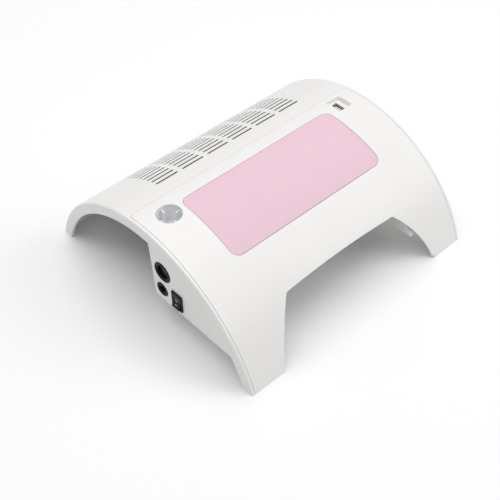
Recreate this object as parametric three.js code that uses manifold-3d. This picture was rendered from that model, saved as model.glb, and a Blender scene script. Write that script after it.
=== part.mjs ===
// A desktop manicure machine: a white plastic arch that the hand rests on, with a soft pad on top, a dust
// intake with two fans behind it, a lamp cavity in front and a control panel in the left end.
// Millimetres, +Z up. The origin is on the desk under the middle of the arch, X runs along the arch, and
// the hand opening faces -Y. Left is -X.
import * as THREE from "three";
import { mergeVertices } from "three/addons/utils/BufferGeometryUtils.js";
import Module from "manifold-3d";

const wasm = await Module();
wasm.setup();

// Driving dimensions: the arch
const WIDTH = 300;
const DEPTH = 300;
const HEIGHT = 110;
const WALL = 2.5;
const GAP = 0.3;
const OVERRUN = 6;
const MERGE_DISTANCE = 1e-4;
const ARC_STEPS = 90;

// The end rims, and the ledges that carry the front cover
const RIM_THICKNESS = 4;
const RIM_DEPTH = 12;
const RIM_ROUND = 2;
const RIM_ROUND_STEPS = 2;
const LEDGE_REACH = 3;
const LEDGE_THICKNESS = 1.8;

// The front cover's rear edge, which crosses the top of the arch
const SEAM_Y = 22.6;
const SEAM_CORNER = 5;
const CORNER_STEPS = 3;

// The intake slots: rows follow the arc, and the first row is this far from the crest along it
const SLOT_COLUMNS = 6;
const SLOT_ROWS = 12;
const SLOT_LENGTH = 27.5;
const SLOT_WIDTH = 2.8;
const SLOT_COLUMN_PITCH = 33.2;
const SLOT_ROW_PITCH = 7.8;
const SLOT_START = 45.3;
const SLOT_END_STEPS = 2;

// The hand-rest pad and its recess; its middle is this far in front of the crest along the arc
const PAD_MARGIN = 50;
const PAD_LENGTH = 83.8;
const PAD_CORNER = 10;
const PAD_FORWARD = 36.4;
const PAD_RECESS = 2.2;
const PAD_CLEARANCE = 0.4;
const PAD_EDGE_DROP = 0.4;
const PAD_CROWN = 1.1;
const PAD_DRAW_IN = 0.6;
const PAD_EDGE_ROUND = 0.8;
const PAD_STEP = 16;
const PAD_RINGS = 5;

// The hand opening in the front: its sides lie on a circle, and its top edge is slightly bowed
const OPENING_RADIUS = 110.6;
const OPENING_CENTRE_Z = -23.4;
const OPENING_TOP = 60.4;
const OPENING_BOW = 1.6;
const OPENING_CORNER = 4;
const OPENING_FOOT_ANGLE = THREE.MathUtils.degToRad(-12);
const OPENING_STEPS = 8;
const OPENING_BACK = 60;

// Screws and the bosses that they enter
const BOSS_RADIUS = 3.5;
const SCREW_RADIUS = 1.4;
const SCREW_HEAD_RADIUS = 2.9;
const SCREW_HEAD = 2;
const SCREW_LENGTH = 9;
const SCREW_SIDES = 8;
const BOSS_SIDES = 10;
const HOLE_SIDES = 20;
const PIN_SIDES = 8;
const SHAFT_SIDES = 12;
const NUT_SIDES = 6;

// The two housings inside the ends; the outer wall of the left one is the control panel
const HOUSING_WALL = 2.5;
const HOUSING_WIDTH = 57;
const HOUSING_DROP = 79.4;
const HOUSING_REAR_Y = -10;
const HOUSING_DRAFT = THREE.MathUtils.degToRad(3.7);
const HOUSING_LIP = 5;
const PANEL_INSET = 1;
const HOUSING_ROUND = 2.5;
const HOUSING_BOSS_INSET = 8;
const HOUSING_BOSS_OUTER_INSET = 9;
const HOUSING_BOSS_SETBACK = 11;
const HOUSING_BOSS_SPREAD = 76;

// The handpiece socket in the panel
const SOCKET_Y = -25.6;
const SOCKET_DROP = 39.6;
const SOCKET_FLANGE_RADIUS = 11.2;
const SOCKET_BARREL_RADIUS = 9.2;
const SOCKET_LENGTH = 22;
const SOCKET_MOUTH_RADIUS = 7.6;
const SOCKET_MOUTH = 4.6;
const SOCKET_PIN_RADIUS = 1.1;
const SOCKET_PIN_CIRCLE = 4.6;
const SOCKET_PIN_DEPTH = 6;
const SOCKET_PINS = 5;
const SOCKET_PIN_STEP = THREE.MathUtils.degToRad(45);
const SOCKET_NUT = 3;
const SOCKET_NUT_ACROSS = 25;

// The DC jack under it
const JACK_Y = -23;
const JACK_UNDER_SOCKET = 25.4;
const JACK_FLANGE_RADIUS = 7.8;
const JACK_BARREL_RADIUS = 5.8;
const JACK_LENGTH = 16;
const JACK_MOUTH_RADIUS = 3.9;
const JACK_MOUTH = 12;
const JACK_PIN_RADIUS = 1.1;
const JACK_PIN_SETBACK = 4.6;
const JACK_NUT = 2.2;
const JACK_NUT_ACROSS = 15;

const FLANGE = 1.3;
const COUNTERBORE = 1;

// The power switch
const SWITCH_Y = -46;
const SWITCH_UNDER_SOCKET = 23.9;
const SWITCH_WIDTH = 15;
const SWITCH_HEIGHT = 21;
const SWITCH_BEZEL = 1.4;
const SWITCH_BODY_WIDTH = 13;
const SWITCH_BODY_HEIGHT = 19.4;
const SWITCH_BODY_LENGTH = 17;
const SWITCH_CORNER = 1;
const SWITCH_CAVITY = 8;
const ROCKER_WIDTH = 11;
const ROCKER_HALF = 8.3;
const ROCKER_FACE = 2.1;
const ROCKER_END = 3.2;
const ROCKER_BACK = 3.6;
const ROCKER_PIN_RADIUS = 1;
const ROCKER_PIN_REACH = 0.6;
const ROCKER_TILT = THREE.MathUtils.degToRad(9);
const ROCKER_SWEEP_MARGIN = 0.5;
const TERMINAL_LENGTH = 6;
const TERMINAL_WIDTH = 4.8;
const TERMINAL_THICKNESS = 0.8;
const TERMINAL_PITCH = 6.5;
const TERMINALS = 3;

// The cup for the handpiece
const CUP_FROM_END = 32.4;
const CUP_Y = -1.7;
const CUP_RADIUS = 12.6;
const CUP_WALL = 1.8;
const CUP_DEPTH = 22;
const CUP_RIB = 5;
const CUP_RIB_THICKNESS = 1.4;
const CUP_RIB_DROP = 4;
const CUP_RIBS = 4;

// The lamp port and its recess
const PORT_FROM_END = 30.5;
const PORT_Y = 5.9;
const PORT_RECESS_WIDTH = 19;
const PORT_RECESS_LENGTH = 21.2;
const PORT_RECESS_DEPTH = 5;
const PORT_RECESS_TAPER_SHARE = 0.8;
const PORT_WALL = 1.5;
const PORT_SHELL_WIDTH = 6.6;
const PORT_SHELL_LENGTH = 13.2;
const PORT_SHELL_WALL = 0.5;
const PORT_SHELL_DEPTH = 13;
const PORT_TONGUE_WIDTH = 1.9;
const PORT_TONGUE_LENGTH = 11.2;
const PORT_TONGUE_SETBACK = 1.2;
const PORT_BOARD_WIDTH = 16;
const PORT_BOARD_LENGTH = 17;
const PORT_BOARD_THICKNESS = 1.2;
const PORT_CAP_WALL = 1.4;
const PORT_CAP_EAR = 9;
const PORT_CAP_EAR_THICKNESS = 2.4;
const PORT_CAP_DROP = 6;

// The fan bay under the slots, in a frame that leans back with its middle row
const DUCT_WALL = 2;
const DUCT_MARGIN = 1.2;
const DUCT_DEPTH = 28;
const SHELF_SETBACK = 16.5;
const SHELF_THICKNESS = 2;
const FILTER_THICKNESS = 3;
const FAN_SIZE = 92;
const FAN_THICKNESS = 25;
const FAN_CORNER = 4;
const FAN_BORE_RADIUS = 43.5;
const FAN_TIP_CLEARANCE = 1;
const FAN_HUB_RADIUS = 17;
const FAN_HUB_WALL = 1.6;
const FAN_HUB_HEIGHT = 17;
const FAN_BASE_THICKNESS = 3;
const FAN_SPOKES = 4;
const FAN_SPOKE_WIDTH = 4;
const FAN_BLADES = 7;
const FAN_BLADE_THICKNESS = 1.4;
const FAN_BLADE_CHORD = 24;
const FAN_BLADE_CAMBER = 3.5;
const FAN_BLADE_PITCH = THREE.MathUtils.degToRad(38);
const FAN_BLADE_STEPS = 3;
const FAN_SHAFT_RADIUS = 1.5;
const FAN_COIL_RADIUS = 13;
const FAN_COIL_HEIGHT = 9;
const FAN_RUNNING_GAP = 1;
const FAN_SCREW_SPACING = 82.5;
const FAN_BORE_SIDES = 40;
const FAN_HUB_SIDES = 20;
const DUCT_EAR = 10;
const DUCT_EAR_WIDTH = 12;
const DUCT_EAR_SPREAD_SHARE = 0.65;

// The lamp tray over the hand opening, in a frame that leans forward by this angle
const LAMP_LEAN = THREE.MathUtils.degToRad(-24);
const LAMP_SIDE_CLEARANCE = 9;
const LAMP_LENGTH = 72;
const LAMP_WALL = 2;
const LAMP_DEPTH = 20;
const LAMP_BOSS_INSET = 7;
const LED_BOARD_MARGIN = 15;
const LED_BOARD_LENGTH = 54;
const LED_BOARD_THICKNESS = 1.6;
const LED_STANDOFF = 3;
const LED_STANDOFF_RADIUS = 2;
const LED_STANDOFF_INSET = 5;
const LED_COLUMNS = 6;
const LED_ROWS = 2;
const LED_EDGE = 12.5;
const LED_ROW_PITCH = 24;
const LED_RADIUS = 2.6;
const LED_REACH = 2;
const LED_SIDES = 8;

// The circuit boards on the floors of the two housings
const BOARD_WIDTH = 28;
const BOARD_LENGTH = 58;
const BOARD_THICKNESS = 1.6;
const BOARD_STANDOFF = 4;
const BOARD_STANDOFF_RADIUS = 2.2;
const BOARD_STANDOFF_INSET = 4;
const BOARD_INSET = 22;
const BOARD_SETBACK = 50;

// The tabs that hold the cover's rear edge down
const TAB_X = 60;
const TAB_WIDTH = 13;
const TAB_DROP = 7;
const TAB_THICKNESS = 2;
const TAB_REACH = 10;
const TAB_SCREW_ENTRY = 4;

// Sizes that follow from the ones above
const RADIUS = (DEPTH * DEPTH / 4 + HEIGHT * HEIGHT) / (2 * HEIGHT);
const AXIS_Z = HEIGHT - RADIUS;
const INNER = RADIUS - WALL;
const LID_HALF = WIDTH / 2 - RIM_THICKNESS;
const PAD_WIDTH = WIDTH - 2 * PAD_MARGIN;
const CUP_X = CUP_FROM_END - WIDTH / 2;
const PORT_X = WIDTH / 2 - PORT_FROM_END;
const SOCKET_Z = HEIGHT - SOCKET_DROP;
const JACK_Z = SOCKET_Z - JACK_UNDER_SOCKET;
const SWITCH_Z = SOCKET_Z - SWITCH_UNDER_SOCKET;
const HOUSING_INNER_X = LID_HALF - HOUSING_WIDTH;
const HOUSING_FLOOR_Z = HEIGHT - HOUSING_DROP;
const HOUSING_BOSS_REAR = HOUSING_REAR_Y - HOUSING_BOSS_SETBACK;
const HOUSING_BOSS_FRONT = HOUSING_BOSS_REAR - HOUSING_BOSS_SPREAD;
const HOUSING_BOSSES = [
  { x: HOUSING_INNER_X + HOUSING_BOSS_INSET, y: HOUSING_BOSS_REAR },
  { x: HOUSING_INNER_X + HOUSING_BOSS_INSET, y: HOUSING_BOSS_FRONT },
  { x: LID_HALF - HOUSING_BOSS_OUTER_INSET, y: HOUSING_BOSS_FRONT },
];
const LEDGE_TOP = INNER - GAP;
const LEDGE_BOTTOM = LEDGE_TOP - LEDGE_THICKNESS;
const PAD_FLOOR = RADIUS - PAD_RECESS;
const PAD_UNDERSIDE = PAD_FLOOR - WALL;
const PAD_LEAN = -PAD_FORWARD / RADIUS;
const PAD_HALF_CHORD = RADIUS * Math.sin(PAD_LENGTH / 2 / RADIUS);
const HOUSING_ROOF = Math.min(LEDGE_BOTTOM, PAD_UNDERSIDE) - GAP;
const PANEL_ROOF = RADIUS - RIM_DEPTH - GAP;
const PANEL_X = -(WIDTH / 2 - PANEL_INSET);
const PANEL_BACK_X = PANEL_X + HOUSING_WALL;
const BOARD_X = HOUSING_INNER_X + BOARD_INSET;
const BOARD_Y = HOUSING_REAR_Y - BOARD_SETBACK;
const BOARD_Z = HOUSING_FLOOR_Z + HOUSING_WALL + BOARD_STANDOFF + GAP;
const BAY_LEAN = (SLOT_START + (SLOT_ROWS - 1) * SLOT_ROW_PITCH / 2) / RADIUS;
const DUCT_INNER_LENGTH = FAN_SIZE + 2 * DUCT_MARGIN;
const DUCT_INNER_WIDTH = (SLOT_COLUMNS - 1) * SLOT_COLUMN_PITCH + SLOT_LENGTH + 2 * DUCT_MARGIN;
const FAN_X = DUCT_INNER_WIDTH / 4;
const SHELF_TOP = RADIUS - SHELF_SETBACK;
const SHELF_BOTTOM = SHELF_TOP - SHELF_THICKNESS;
const FAN_TOP = SHELF_BOTTOM - GAP;
const FAN_BOTTOM = FAN_TOP - FAN_THICKNESS;
const DUCT_BOTTOM = SHELF_BOTTOM - DUCT_DEPTH;
const DUCT_EAR_X = DUCT_INNER_WIDTH / 2 + DUCT_WALL + DUCT_EAR / 2;
const DUCT_EAR_Y = DUCT_INNER_LENGTH / 2 * DUCT_EAR_SPREAD_SHARE;
const LAMP_WIDTH = 2 * (HOUSING_INNER_X - LAMP_SIDE_CLEARANCE);
const LED_BOARD_WIDTH = LAMP_WIDTH - 2 * LED_BOARD_MARGIN;
const LED_COLUMN_PITCH = (LED_BOARD_WIDTH - 2 * LED_EDGE) / (LED_COLUMNS - 1);
const LAMP_FLOOR = RADIUS - LAMP_DEPTH - WALL;
const LAMP_FLOOR_TOP = LAMP_FLOOR + LAMP_WALL;
const LED_BOARD_BOTTOM = LAMP_FLOOR_TOP + LED_STANDOFF + GAP;
const LAMP_BOSS_X = LAMP_WIDTH / 2 - LAMP_BOSS_INSET;
const LAMP_BOSS_Y = LAMP_LENGTH / 2 - LAMP_BOSS_INSET;
const PORT_TOP = AXIS_Z + Math.sqrt(RADIUS * RADIUS - PORT_Y * PORT_Y);
const PORT_FLOOR = PORT_TOP - PORT_RECESS_DEPTH;
const PORT_UNDERSIDE = PORT_FLOOR - PORT_WALL;
const PORT_SHELL_TOP = PORT_FLOOR - PORT_SHELL_WALL;
const PORT_SHELL_BOTTOM = PORT_SHELL_TOP - PORT_SHELL_DEPTH;
const PORT_BOARD_TOP = PORT_SHELL_BOTTOM - GAP;
const PORT_CAP_FLOOR_TOP = PORT_BOARD_TOP - PORT_BOARD_THICKNESS - GAP;
const PORT_CAP_INNER_WIDTH = PORT_BOARD_WIDTH + 2 * GAP;
const PORT_CAP_INNER_LENGTH = PORT_BOARD_LENGTH + 2 * GAP;
const PORT_EAR_X = PORT_CAP_INNER_WIDTH / 2 + PORT_CAP_WALL + PORT_CAP_EAR / 2;
const PORT_EAR_TOP = PORT_UNDERSIDE - PORT_CAP_DROP;
const TAB_TOP = AXIS_Z + LEDGE_TOP - TAB_DROP;
const TAB_BOSS_Y = SEAM_Y - LEDGE_REACH - TAB_REACH / 2;

// Frames: outlines are drawn in a frame's first two axes and pushed along its third
const AXIS_X = new THREE.Vector3(1, 0, 0);
const AXIS_Y = new THREE.Vector3(0, 1, 0);
const AXIS_UP = new THREE.Vector3(0, 0, 1);
const FLAT = new THREE.Matrix4();
const ACROSS = new THREE.Matrix4().makeBasis(AXIS_Y, AXIS_UP, AXIS_X);
const FORWARD = new THREE.Matrix4().makeBasis(AXIS_X, AXIS_UP, AXIS_Y.clone().negate());
const ABOUT_AXIS = new THREE.Matrix4().makeTranslation(0, 0, AXIS_Z);

// A frame on the arch's axis whose third axis leans back from upright by an angle
function leaning(angle) {
  return ABOUT_AXIS.clone().multiply(new THREE.Matrix4().makeRotationX(-angle));
}

// A closed geometry as a solid that can be joined and cut
function solidOf(geometry, frame = FLAT) {
  const bare = geometry.clone().applyMatrix4(frame);
  bare.deleteAttribute("normal");
  bare.deleteAttribute("uv");
  const merged = mergeVertices(bare, MERGE_DISTANCE);
  const corners = merged.index.array;
  const kept = [];
  for (let i = 0; i < corners.length; i += 3) {
    const [a, b, c] = corners.slice(i, i + 3);
    if (a !== b && b !== c && c !== a) kept.push(a, b, c);
  }
  return new wasm.Manifold(
    new wasm.Mesh({
      numProp: 3,
      vertProperties: merged.attributes.position.array,
      triVerts: new Uint32Array(kept),
    }),
  );
}

// A solid back as a geometry that a mesh can hold
function geometryOf(solid) {
  const mesh = solid.getMesh();
  const geometry = new THREE.BufferGeometry();
  geometry.setAttribute("position", new THREE.BufferAttribute(mesh.vertProperties, mesh.numProp));
  geometry.setIndex(new THREE.BufferAttribute(mesh.triVerts, 1));
  geometry.computeVertexNormals();
  return geometry;
}

// All of a list of solids in one
function joined(solids) {
  return solids.reduce((whole, next) => whole.add(next));
}

// An outline pushed along its frame's third axis
function prism(points, from, to, frame = FLAT) {
  const low = Math.min(from, to);
  const geometry = new THREE.ExtrudeGeometry(new THREE.Shape(points), {
    depth: Math.abs(to - from),
    bevelEnabled: false,
  });
  geometry.translate(0, 0, low);
  return solidOf(geometry, frame);
}

// A rectangle of any two opposite corners
function rectangle(x0, x1, y0, y1) {
  return [
    new THREE.Vector2(x0, y0),
    new THREE.Vector2(x1, y0),
    new THREE.Vector2(x1, y1),
    new THREE.Vector2(x0, y1),
  ];
}

// A block between two places along each axis
function block(x0, x1, y0, y1, z0, z1, frame = FLAT) {
  return prism(rectangle(x0, x1, y0, y1), z0, z1, frame);
}

// A circle's points about a centre
function circle(radius, sides, x = 0, y = 0) {
  return Array.from({ length: sides }, (_, i) => {
    const angle = ((i + 0.5) / sides) * 2 * Math.PI;
    return new THREE.Vector2(x + radius * Math.cos(angle), y + radius * Math.sin(angle));
  });
}

// A rectangle with round corners about a centre
function rounded(width, length, corner, x = 0, y = 0, steps = CORNER_STEPS) {
  const quarters = [[1, 1], [-1, 1], [-1, -1], [1, -1]];
  return quarters.flatMap(([sx, sy], quarter) =>
    Array.from({ length: steps + 1 }, (_, i) => {
      const angle = (quarter + i / steps) * Math.PI / 2;
      return new THREE.Vector2(
        x + sx * (width / 2 - corner) + corner * Math.cos(angle),
        y + sy * (length / 2 - corner) + corner * Math.sin(angle),
      );
    }),
  );
}

// A closed profile of places along X and radii, turned about the arch's axis
function ring(profile, frame = ABOUT_AXIS) {
  const points = profile.map(([x, radius]) => new THREE.Vector2(radius, x));
  if (THREE.ShapeUtils.area(points) < 0) points.reverse();
  const geometry = new THREE.LatheGeometry([...points, points[0]], ARC_STEPS);
  const turn = new THREE.Matrix4().makeBasis(AXIS_Y.clone().negate(), AXIS_X, AXIS_UP);
  return solidOf(geometry.applyMatrix4(turn), frame);
}

// The part of a ring between two radii and two places along X
function slab(inner, outer, x0, x1, frame = ABOUT_AXIS) {
  return ring([[x0, inner], [x1, inner], [x1, outer], [x0, outer]], frame);
}

// Everything nearer to the arch's axis than a radius
function core(radius, frame = ABOUT_AXIS) {
  const half = WIDTH / 2 + OVERRUN;
  return ring([[-half, 0], [half, 0], [half, radius], [-half, radius]], frame);
}

// A round rod that stands on its frame's third axis
function rod(radius, from, to, x, y, frame = FLAT, sides = HOLE_SIDES) {
  return prism(circle(radius, sides, x, y), from, to, frame);
}

// The space over the desk, which cuts the arch's feet level
const aboveDesk = block(-WIDTH, WIDTH, -DEPTH, DEPTH, 0, 2 * HEIGHT);

// A screw boss that hangs from the arch's skin at a roof radius, without its bore
function boss(x, y, bottom, roof, frame) {
  const inAxisFrame = frame === FLAT ? ABOUT_AXIS : frame;
  return rod(BOSS_RADIUS, bottom, 2 * RADIUS, x, y, frame, BOSS_SIDES).intersect(core(roof, inAxisFrame));
}

// The bore of a boss, from below its end
function bore(x, y, bottom, frame, depth = SCREW_LENGTH) {
  return rod(SCREW_RADIUS + GAP, bottom - OVERRUN, bottom + depth, x, y, frame, BOSS_SIDES);
}

// A pan-head screw whose head's bearing face is at zero and whose shank points up
function screwSolid(length) {
  const profile = [
    [0, -SCREW_HEAD],
    [SCREW_HEAD_RADIUS, -SCREW_HEAD],
    [SCREW_HEAD_RADIUS, 0],
    [SCREW_RADIUS, 0],
    [SCREW_RADIUS, length],
    [0, length],
  ];
  const points = profile.map(([radius, height]) => new THREE.Vector2(radius, height));
  const geometry = new THREE.LatheGeometry(points, SCREW_SIDES);
  geometry.rotateX(Math.PI / 2);
  return solidOf(geometry);
}

// Finishes
function finish(color, roughness, metalness = 0) {
  return new THREE.MeshStandardMaterial({ color, roughness, metalness });
}
const WHITE_ABS = finish(0xf0eeed, 0.4);
const GREY_ABS = finish(0xbfbdbd, 0.5);
const PINK_FOAM = finish(0xf0ceda, 0.7);
const BLACK_NYLON = finish(0x1c1b1d, 0.45);
const FILTER_FELT = finish(0x4a474a, 0.95);
const LAMP_WHITE = finish(0xf6f6f6, 0.25);
const BOARD_GREEN = finish(0x1f5f3a, 0.5);
const LED_BOARD_WHITE = finish(0xe9e9e4, 0.4);
const PLATED_STEEL = finish(0xb9bbbe, 0.3, 1);
const PORT_WHITE = finish(0xf4f4f2, 0.4);

const model = new THREE.Group();

// One named piece of the object, in the group that places it
function place(name, solid, material, parent = model) {
  const mesh = new THREE.Mesh(geometryOf(solid), material);
  mesh.name = name;
  parent.add(mesh);
  return mesh;
}

// A group that stands on the arch's axis and leans back by an angle
function bay(angle) {
  const group = new THREE.Group();
  group.position.z = AXIS_Z;
  group.rotation.x = -angle;
  model.add(group);
  return group;
}

// The plan of the front cover, grown by a margin
function lid(margin) {
  const width = 2 * (LID_HALF + margin);
  const front = -DEPTH;
  const rear = SEAM_Y + margin;
  const plan = rounded(width, rear - front, SEAM_CORNER + margin, 0, (rear + front) / 2);
  return prism(plan, -OVERRUN, 2 * HEIGHT);
}

// One end rim: a flange in the end plane with a round outer edge
function rim(side) {
  const face = WIDTH / 2;
  const profile = [[LID_HALF + GAP, RADIUS - RIM_DEPTH], [face, RADIUS - RIM_DEPTH]];
  for (let i = 0; i <= RIM_ROUND_STEPS; i++) {
    const angle = (i / RIM_ROUND_STEPS) * Math.PI / 2;
    profile.push([
      face - RIM_ROUND + RIM_ROUND * Math.cos(angle),
      RADIUS - RIM_ROUND + RIM_ROUND * Math.sin(angle),
    ]);
  }
  profile.push([LID_HALF + GAP, RADIUS]);
  return ring(profile.map(([x, radius]) => [side * x, radius]));
}

// Angle of a slot row, back from the crest
function rowAngle(row) {
  return (SLOT_START + row * SLOT_ROW_PITCH) / RADIUS;
}

// All intake slots, each pushed through the skin square to it
function slots() {
  const cuts = [];
  for (let row = 0; row < SLOT_ROWS; row++) {
    const frame = leaning(rowAngle(row));
    for (let column = 0; column < SLOT_COLUMNS; column++) {
      const x = (column - (SLOT_COLUMNS - 1) / 2) * SLOT_COLUMN_PITCH;
      const plan = rounded(SLOT_LENGTH, SLOT_WIDTH, SLOT_WIDTH / 2, x, 0, SLOT_END_STEPS);
      cuts.push(prism(plan, INNER - OVERRUN, RADIUS + OVERRUN, frame));
    }
  }
  return joined(cuts);
}

// The rear half of the skin with both end rims, the ledges for the cover and the bosses for the duct
function mainShell() {
  const skinHalf = WIDTH / 2 - RIM_ROUND;
  const skin = slab(INNER, RADIUS, -skinHalf, skinHalf).subtract(lid(GAP)).subtract(slots());
  const inFront = block(-WIDTH, WIDTH, -DEPTH, SEAM_Y + GAP, -HEIGHT, 2 * HEIGHT);
  const ledgeEnd = WIDTH / 2 - RIM_THICKNESS / 2;
  const endLedges = [-1, 1].map((side) =>
    slab(LEDGE_BOTTOM, LEDGE_TOP, side * (LID_HALF - LEDGE_REACH), side * ledgeEnd).intersect(inFront),
  );
  const seamRear = SEAM_Y + GAP + LEDGE_REACH;
  const seamLedge = slab(LEDGE_BOTTOM, LEDGE_TOP, -ledgeEnd, ledgeEnd).intersect(
    block(-WIDTH, WIDTH, SEAM_Y - LEDGE_REACH, seamRear, 0, 2 * HEIGHT),
  );
  const seamRoot = slab(LEDGE_BOTTOM, INNER + WALL / 2, -skinHalf, skinHalf).intersect(
    block(-WIDTH, WIDTH, SEAM_Y + GAP, seamRear, 0, 2 * HEIGHT),
  );
  const tabs = [-1, 1].flatMap((side) => {
    const x0 = side * TAB_X - TAB_WIDTH / 2;
    const x1 = side * TAB_X + TAB_WIDTH / 2;
    const front = SEAM_Y - LEDGE_REACH - TAB_REACH;
    const wallFront = SEAM_Y - LEDGE_REACH;
    return [
      block(x0, x1, front, wallFront + TAB_THICKNESS, TAB_TOP - TAB_THICKNESS, TAB_TOP),
      block(x0, x1, wallFront, wallFront + TAB_THICKNESS, TAB_TOP - TAB_THICKNESS, HEIGHT)
        .intersect(core(LEDGE_TOP)),
    ];
  });
  const bayFrame = leaning(BAY_LEAN);
  const places = corners(DUCT_EAR_X, DUCT_EAR_Y);
  const bosses = places.map(([x, y]) => boss(x, y, SHELF_TOP + GAP, RADIUS - WALL / 2, bayFrame));
  const bores = places.map(([x, y]) => bore(x, y, SHELF_TOP + GAP, bayFrame));
  const tabHoles = [-1, 1].map((side) =>
    rod(SCREW_RADIUS + GAP, TAB_TOP - OVERRUN, TAB_TOP + OVERRUN / 2, side * TAB_X, TAB_BOSS_Y),
  );
  return joined([skin, rim(-1), rim(1), ...endLedges, seamLedge, seamRoot, ...tabs, ...bosses])
    .subtract(joined([...bores, ...tabHoles]))
    .intersect(aboveDesk);
}

// The four corners of a rectangle about the origin
function corners(x, y) {
  return [[-x, -y], [x, -y], [x, y], [-x, y]];
}

// Points along a circle's arc between two angles
function arc(radius, from, to, steps, x = 0, y = 0) {
  return Array.from({ length: steps + 1 }, (_, i) => {
    const angle = from + (to - from) * (i / steps);
    return new THREE.Vector2(x + radius * Math.cos(angle), y + radius * Math.sin(angle));
  });
}

// The hand opening, as a solid that cuts it out of the skin: up the right side, over the bow and down
function handOpening() {
  const cornerZ = OPENING_TOP - OPENING_BOW - OPENING_CORNER;
  const rise = cornerZ - OPENING_CENTRE_Z;
  const cornerX = Math.sqrt((OPENING_RADIUS - OPENING_CORNER) ** 2 - rise ** 2);
  const lean = Math.atan2(rise, cornerX);
  const right = [
    ...arc(OPENING_RADIUS, OPENING_FOOT_ANGLE, lean, OPENING_STEPS, 0, OPENING_CENTRE_Z),
    ...arc(OPENING_CORNER, lean, Math.PI / 2, CORNER_STEPS, cornerX, cornerZ).slice(1),
  ];
  const bow = Array.from({ length: OPENING_STEPS - 1 }, (_, i) => {
    const across = 1 - (2 * (i + 1)) / OPENING_STEPS;
    return new THREE.Vector2(across * cornerX, OPENING_TOP - OPENING_BOW * across * across);
  });
  const left = right.map((point) => new THREE.Vector2(-point.x, point.y)).reverse();
  return prism([...right, ...bow, ...left], OPENING_BACK, DEPTH, FORWARD);
}

// The tapered recess of the lamp port, grown by a wall where it is the block around it
function portRecess(wall) {
  const reach = PORT_RECESS_DEPTH + OVERRUN;
  const taper = (1 - PORT_RECESS_TAPER_SHARE) / PORT_RECESS_DEPTH;
  const top = 1 + taper * OVERRUN;
  const bottom = PORT_RECESS_TAPER_SHARE;
  const geometry = new THREE.CylinderGeometry(top * Math.SQRT1_2, bottom * Math.SQRT1_2, reach, 4, 1);
  geometry.rotateY(Math.PI / 4);
  geometry.rotateX(Math.PI / 2);
  geometry.scale(PORT_RECESS_WIDTH + 2 * wall, PORT_RECESS_LENGTH + 2 * wall, 1);
  geometry.translate(PORT_X, PORT_Y, PORT_FLOOR - wall + reach / 2);
  return solidOf(geometry);
}

// The screw bosses of the front cover: place, lower end, roof, frame and, where it is short, bore of each
function coverBosses() {
  const lampFrame = leaning(LAMP_LEAN);
  const padRoof = PAD_FLOOR - WALL / 2;
  const skinRoof = RADIUS - WALL / 2;
  const padFront = RADIUS * Math.sin(PAD_LEAN - PAD_LENGTH / 2 / RADIUS);
  const roofAt = (x, y) => (Math.abs(x) < PAD_WIDTH / 2 && y > padFront ? padRoof : skinRoof);
  const housing = [-1, 1].flatMap((side) =>
    HOUSING_BOSSES.map(({ x, y }) => ({
      x: side * x,
      y,
      bottom: HOUSING_FLOOR_Z + HOUSING_WALL + GAP,
      roof: roofAt(x, y),
      frame: FLAT,
    })),
  );
  const lamp = corners(LAMP_BOSS_X, LAMP_BOSS_Y).map(([x, y]) => ({
    x,
    y,
    bottom: LAMP_FLOOR_TOP + GAP,
    roof: y > 0 ? padRoof : skinRoof,
    frame: lampFrame,
  }));
  const port = [-1, 1].map((side) => ({
    x: PORT_X + side * PORT_EAR_X,
    y: PORT_Y,
    bottom: PORT_EAR_TOP + GAP,
    roof: skinRoof,
    frame: FLAT,
  }));
  const tab = [-1, 1].map((side) => ({
    x: side * TAB_X,
    y: TAB_BOSS_Y,
    bottom: TAB_TOP + GAP,
    roof: skinRoof,
    frame: FLAT,
    depth: TAB_SCREW_ENTRY,
  }));
  return [...housing, ...lamp, ...port, ...tab];
}

// The front half of the skin
function frontCover() {
  const padFrame = leaning(PAD_LEAN);
  const padPlan = rounded(PAD_WIDTH, 2 * PAD_HALF_CHORD, PAD_CORNER);
  const trayPlan = rounded(PAD_WIDTH + 2 * WALL, 2 * (PAD_HALF_CHORD + WALL), PAD_CORNER + WALL);
  const skin = slab(INNER, RADIUS, -LID_HALF, LID_HALF);
  const trayWalls = prism(trayPlan, 0, 2 * RADIUS, padFrame)
    .intersect(slab(PAD_UNDERSIDE, RADIUS - WALL / 2, -LID_HALF, LID_HALF));
  const recess = prism(padPlan, 0, 2 * RADIUS, padFrame)
    .intersect(slab(PAD_FLOOR, RADIUS + OVERRUN, -LID_HALF, LID_HALF));
  const portBlock = portRecess(PORT_WALL).intersect(core(RADIUS - WALL / 2));
  const cupHole = rod(CUP_RADIUS, HEIGHT / 2, 2 * HEIGHT, CUP_X, CUP_Y, FLAT, 2 * HOLE_SIDES);
  const portHole = block(
    PORT_X - PORT_SHELL_WIDTH / 2 - GAP,
    PORT_X + PORT_SHELL_WIDTH / 2 + GAP,
    PORT_Y - PORT_SHELL_LENGTH / 2 - GAP,
    PORT_Y + PORT_SHELL_LENGTH / 2 + GAP,
    PORT_UNDERSIDE - OVERRUN,
    PORT_TOP,
  );
  const list = coverBosses();
  const bosses = list.map((b) => boss(b.x, b.y, b.bottom, b.roof, b.frame));
  const bores = list.map((b) => bore(b.x, b.y, b.bottom, b.frame, b.depth));
  return skin
    .subtract(handOpening())
    .add(joined([trayWalls, portBlock, ...bosses]))
    .subtract(joined([recess, cupHole, portRecess(0), portHole, ...bores]))
    .intersect(lid(0))
    .intersect(aboveDesk);
}

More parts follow.
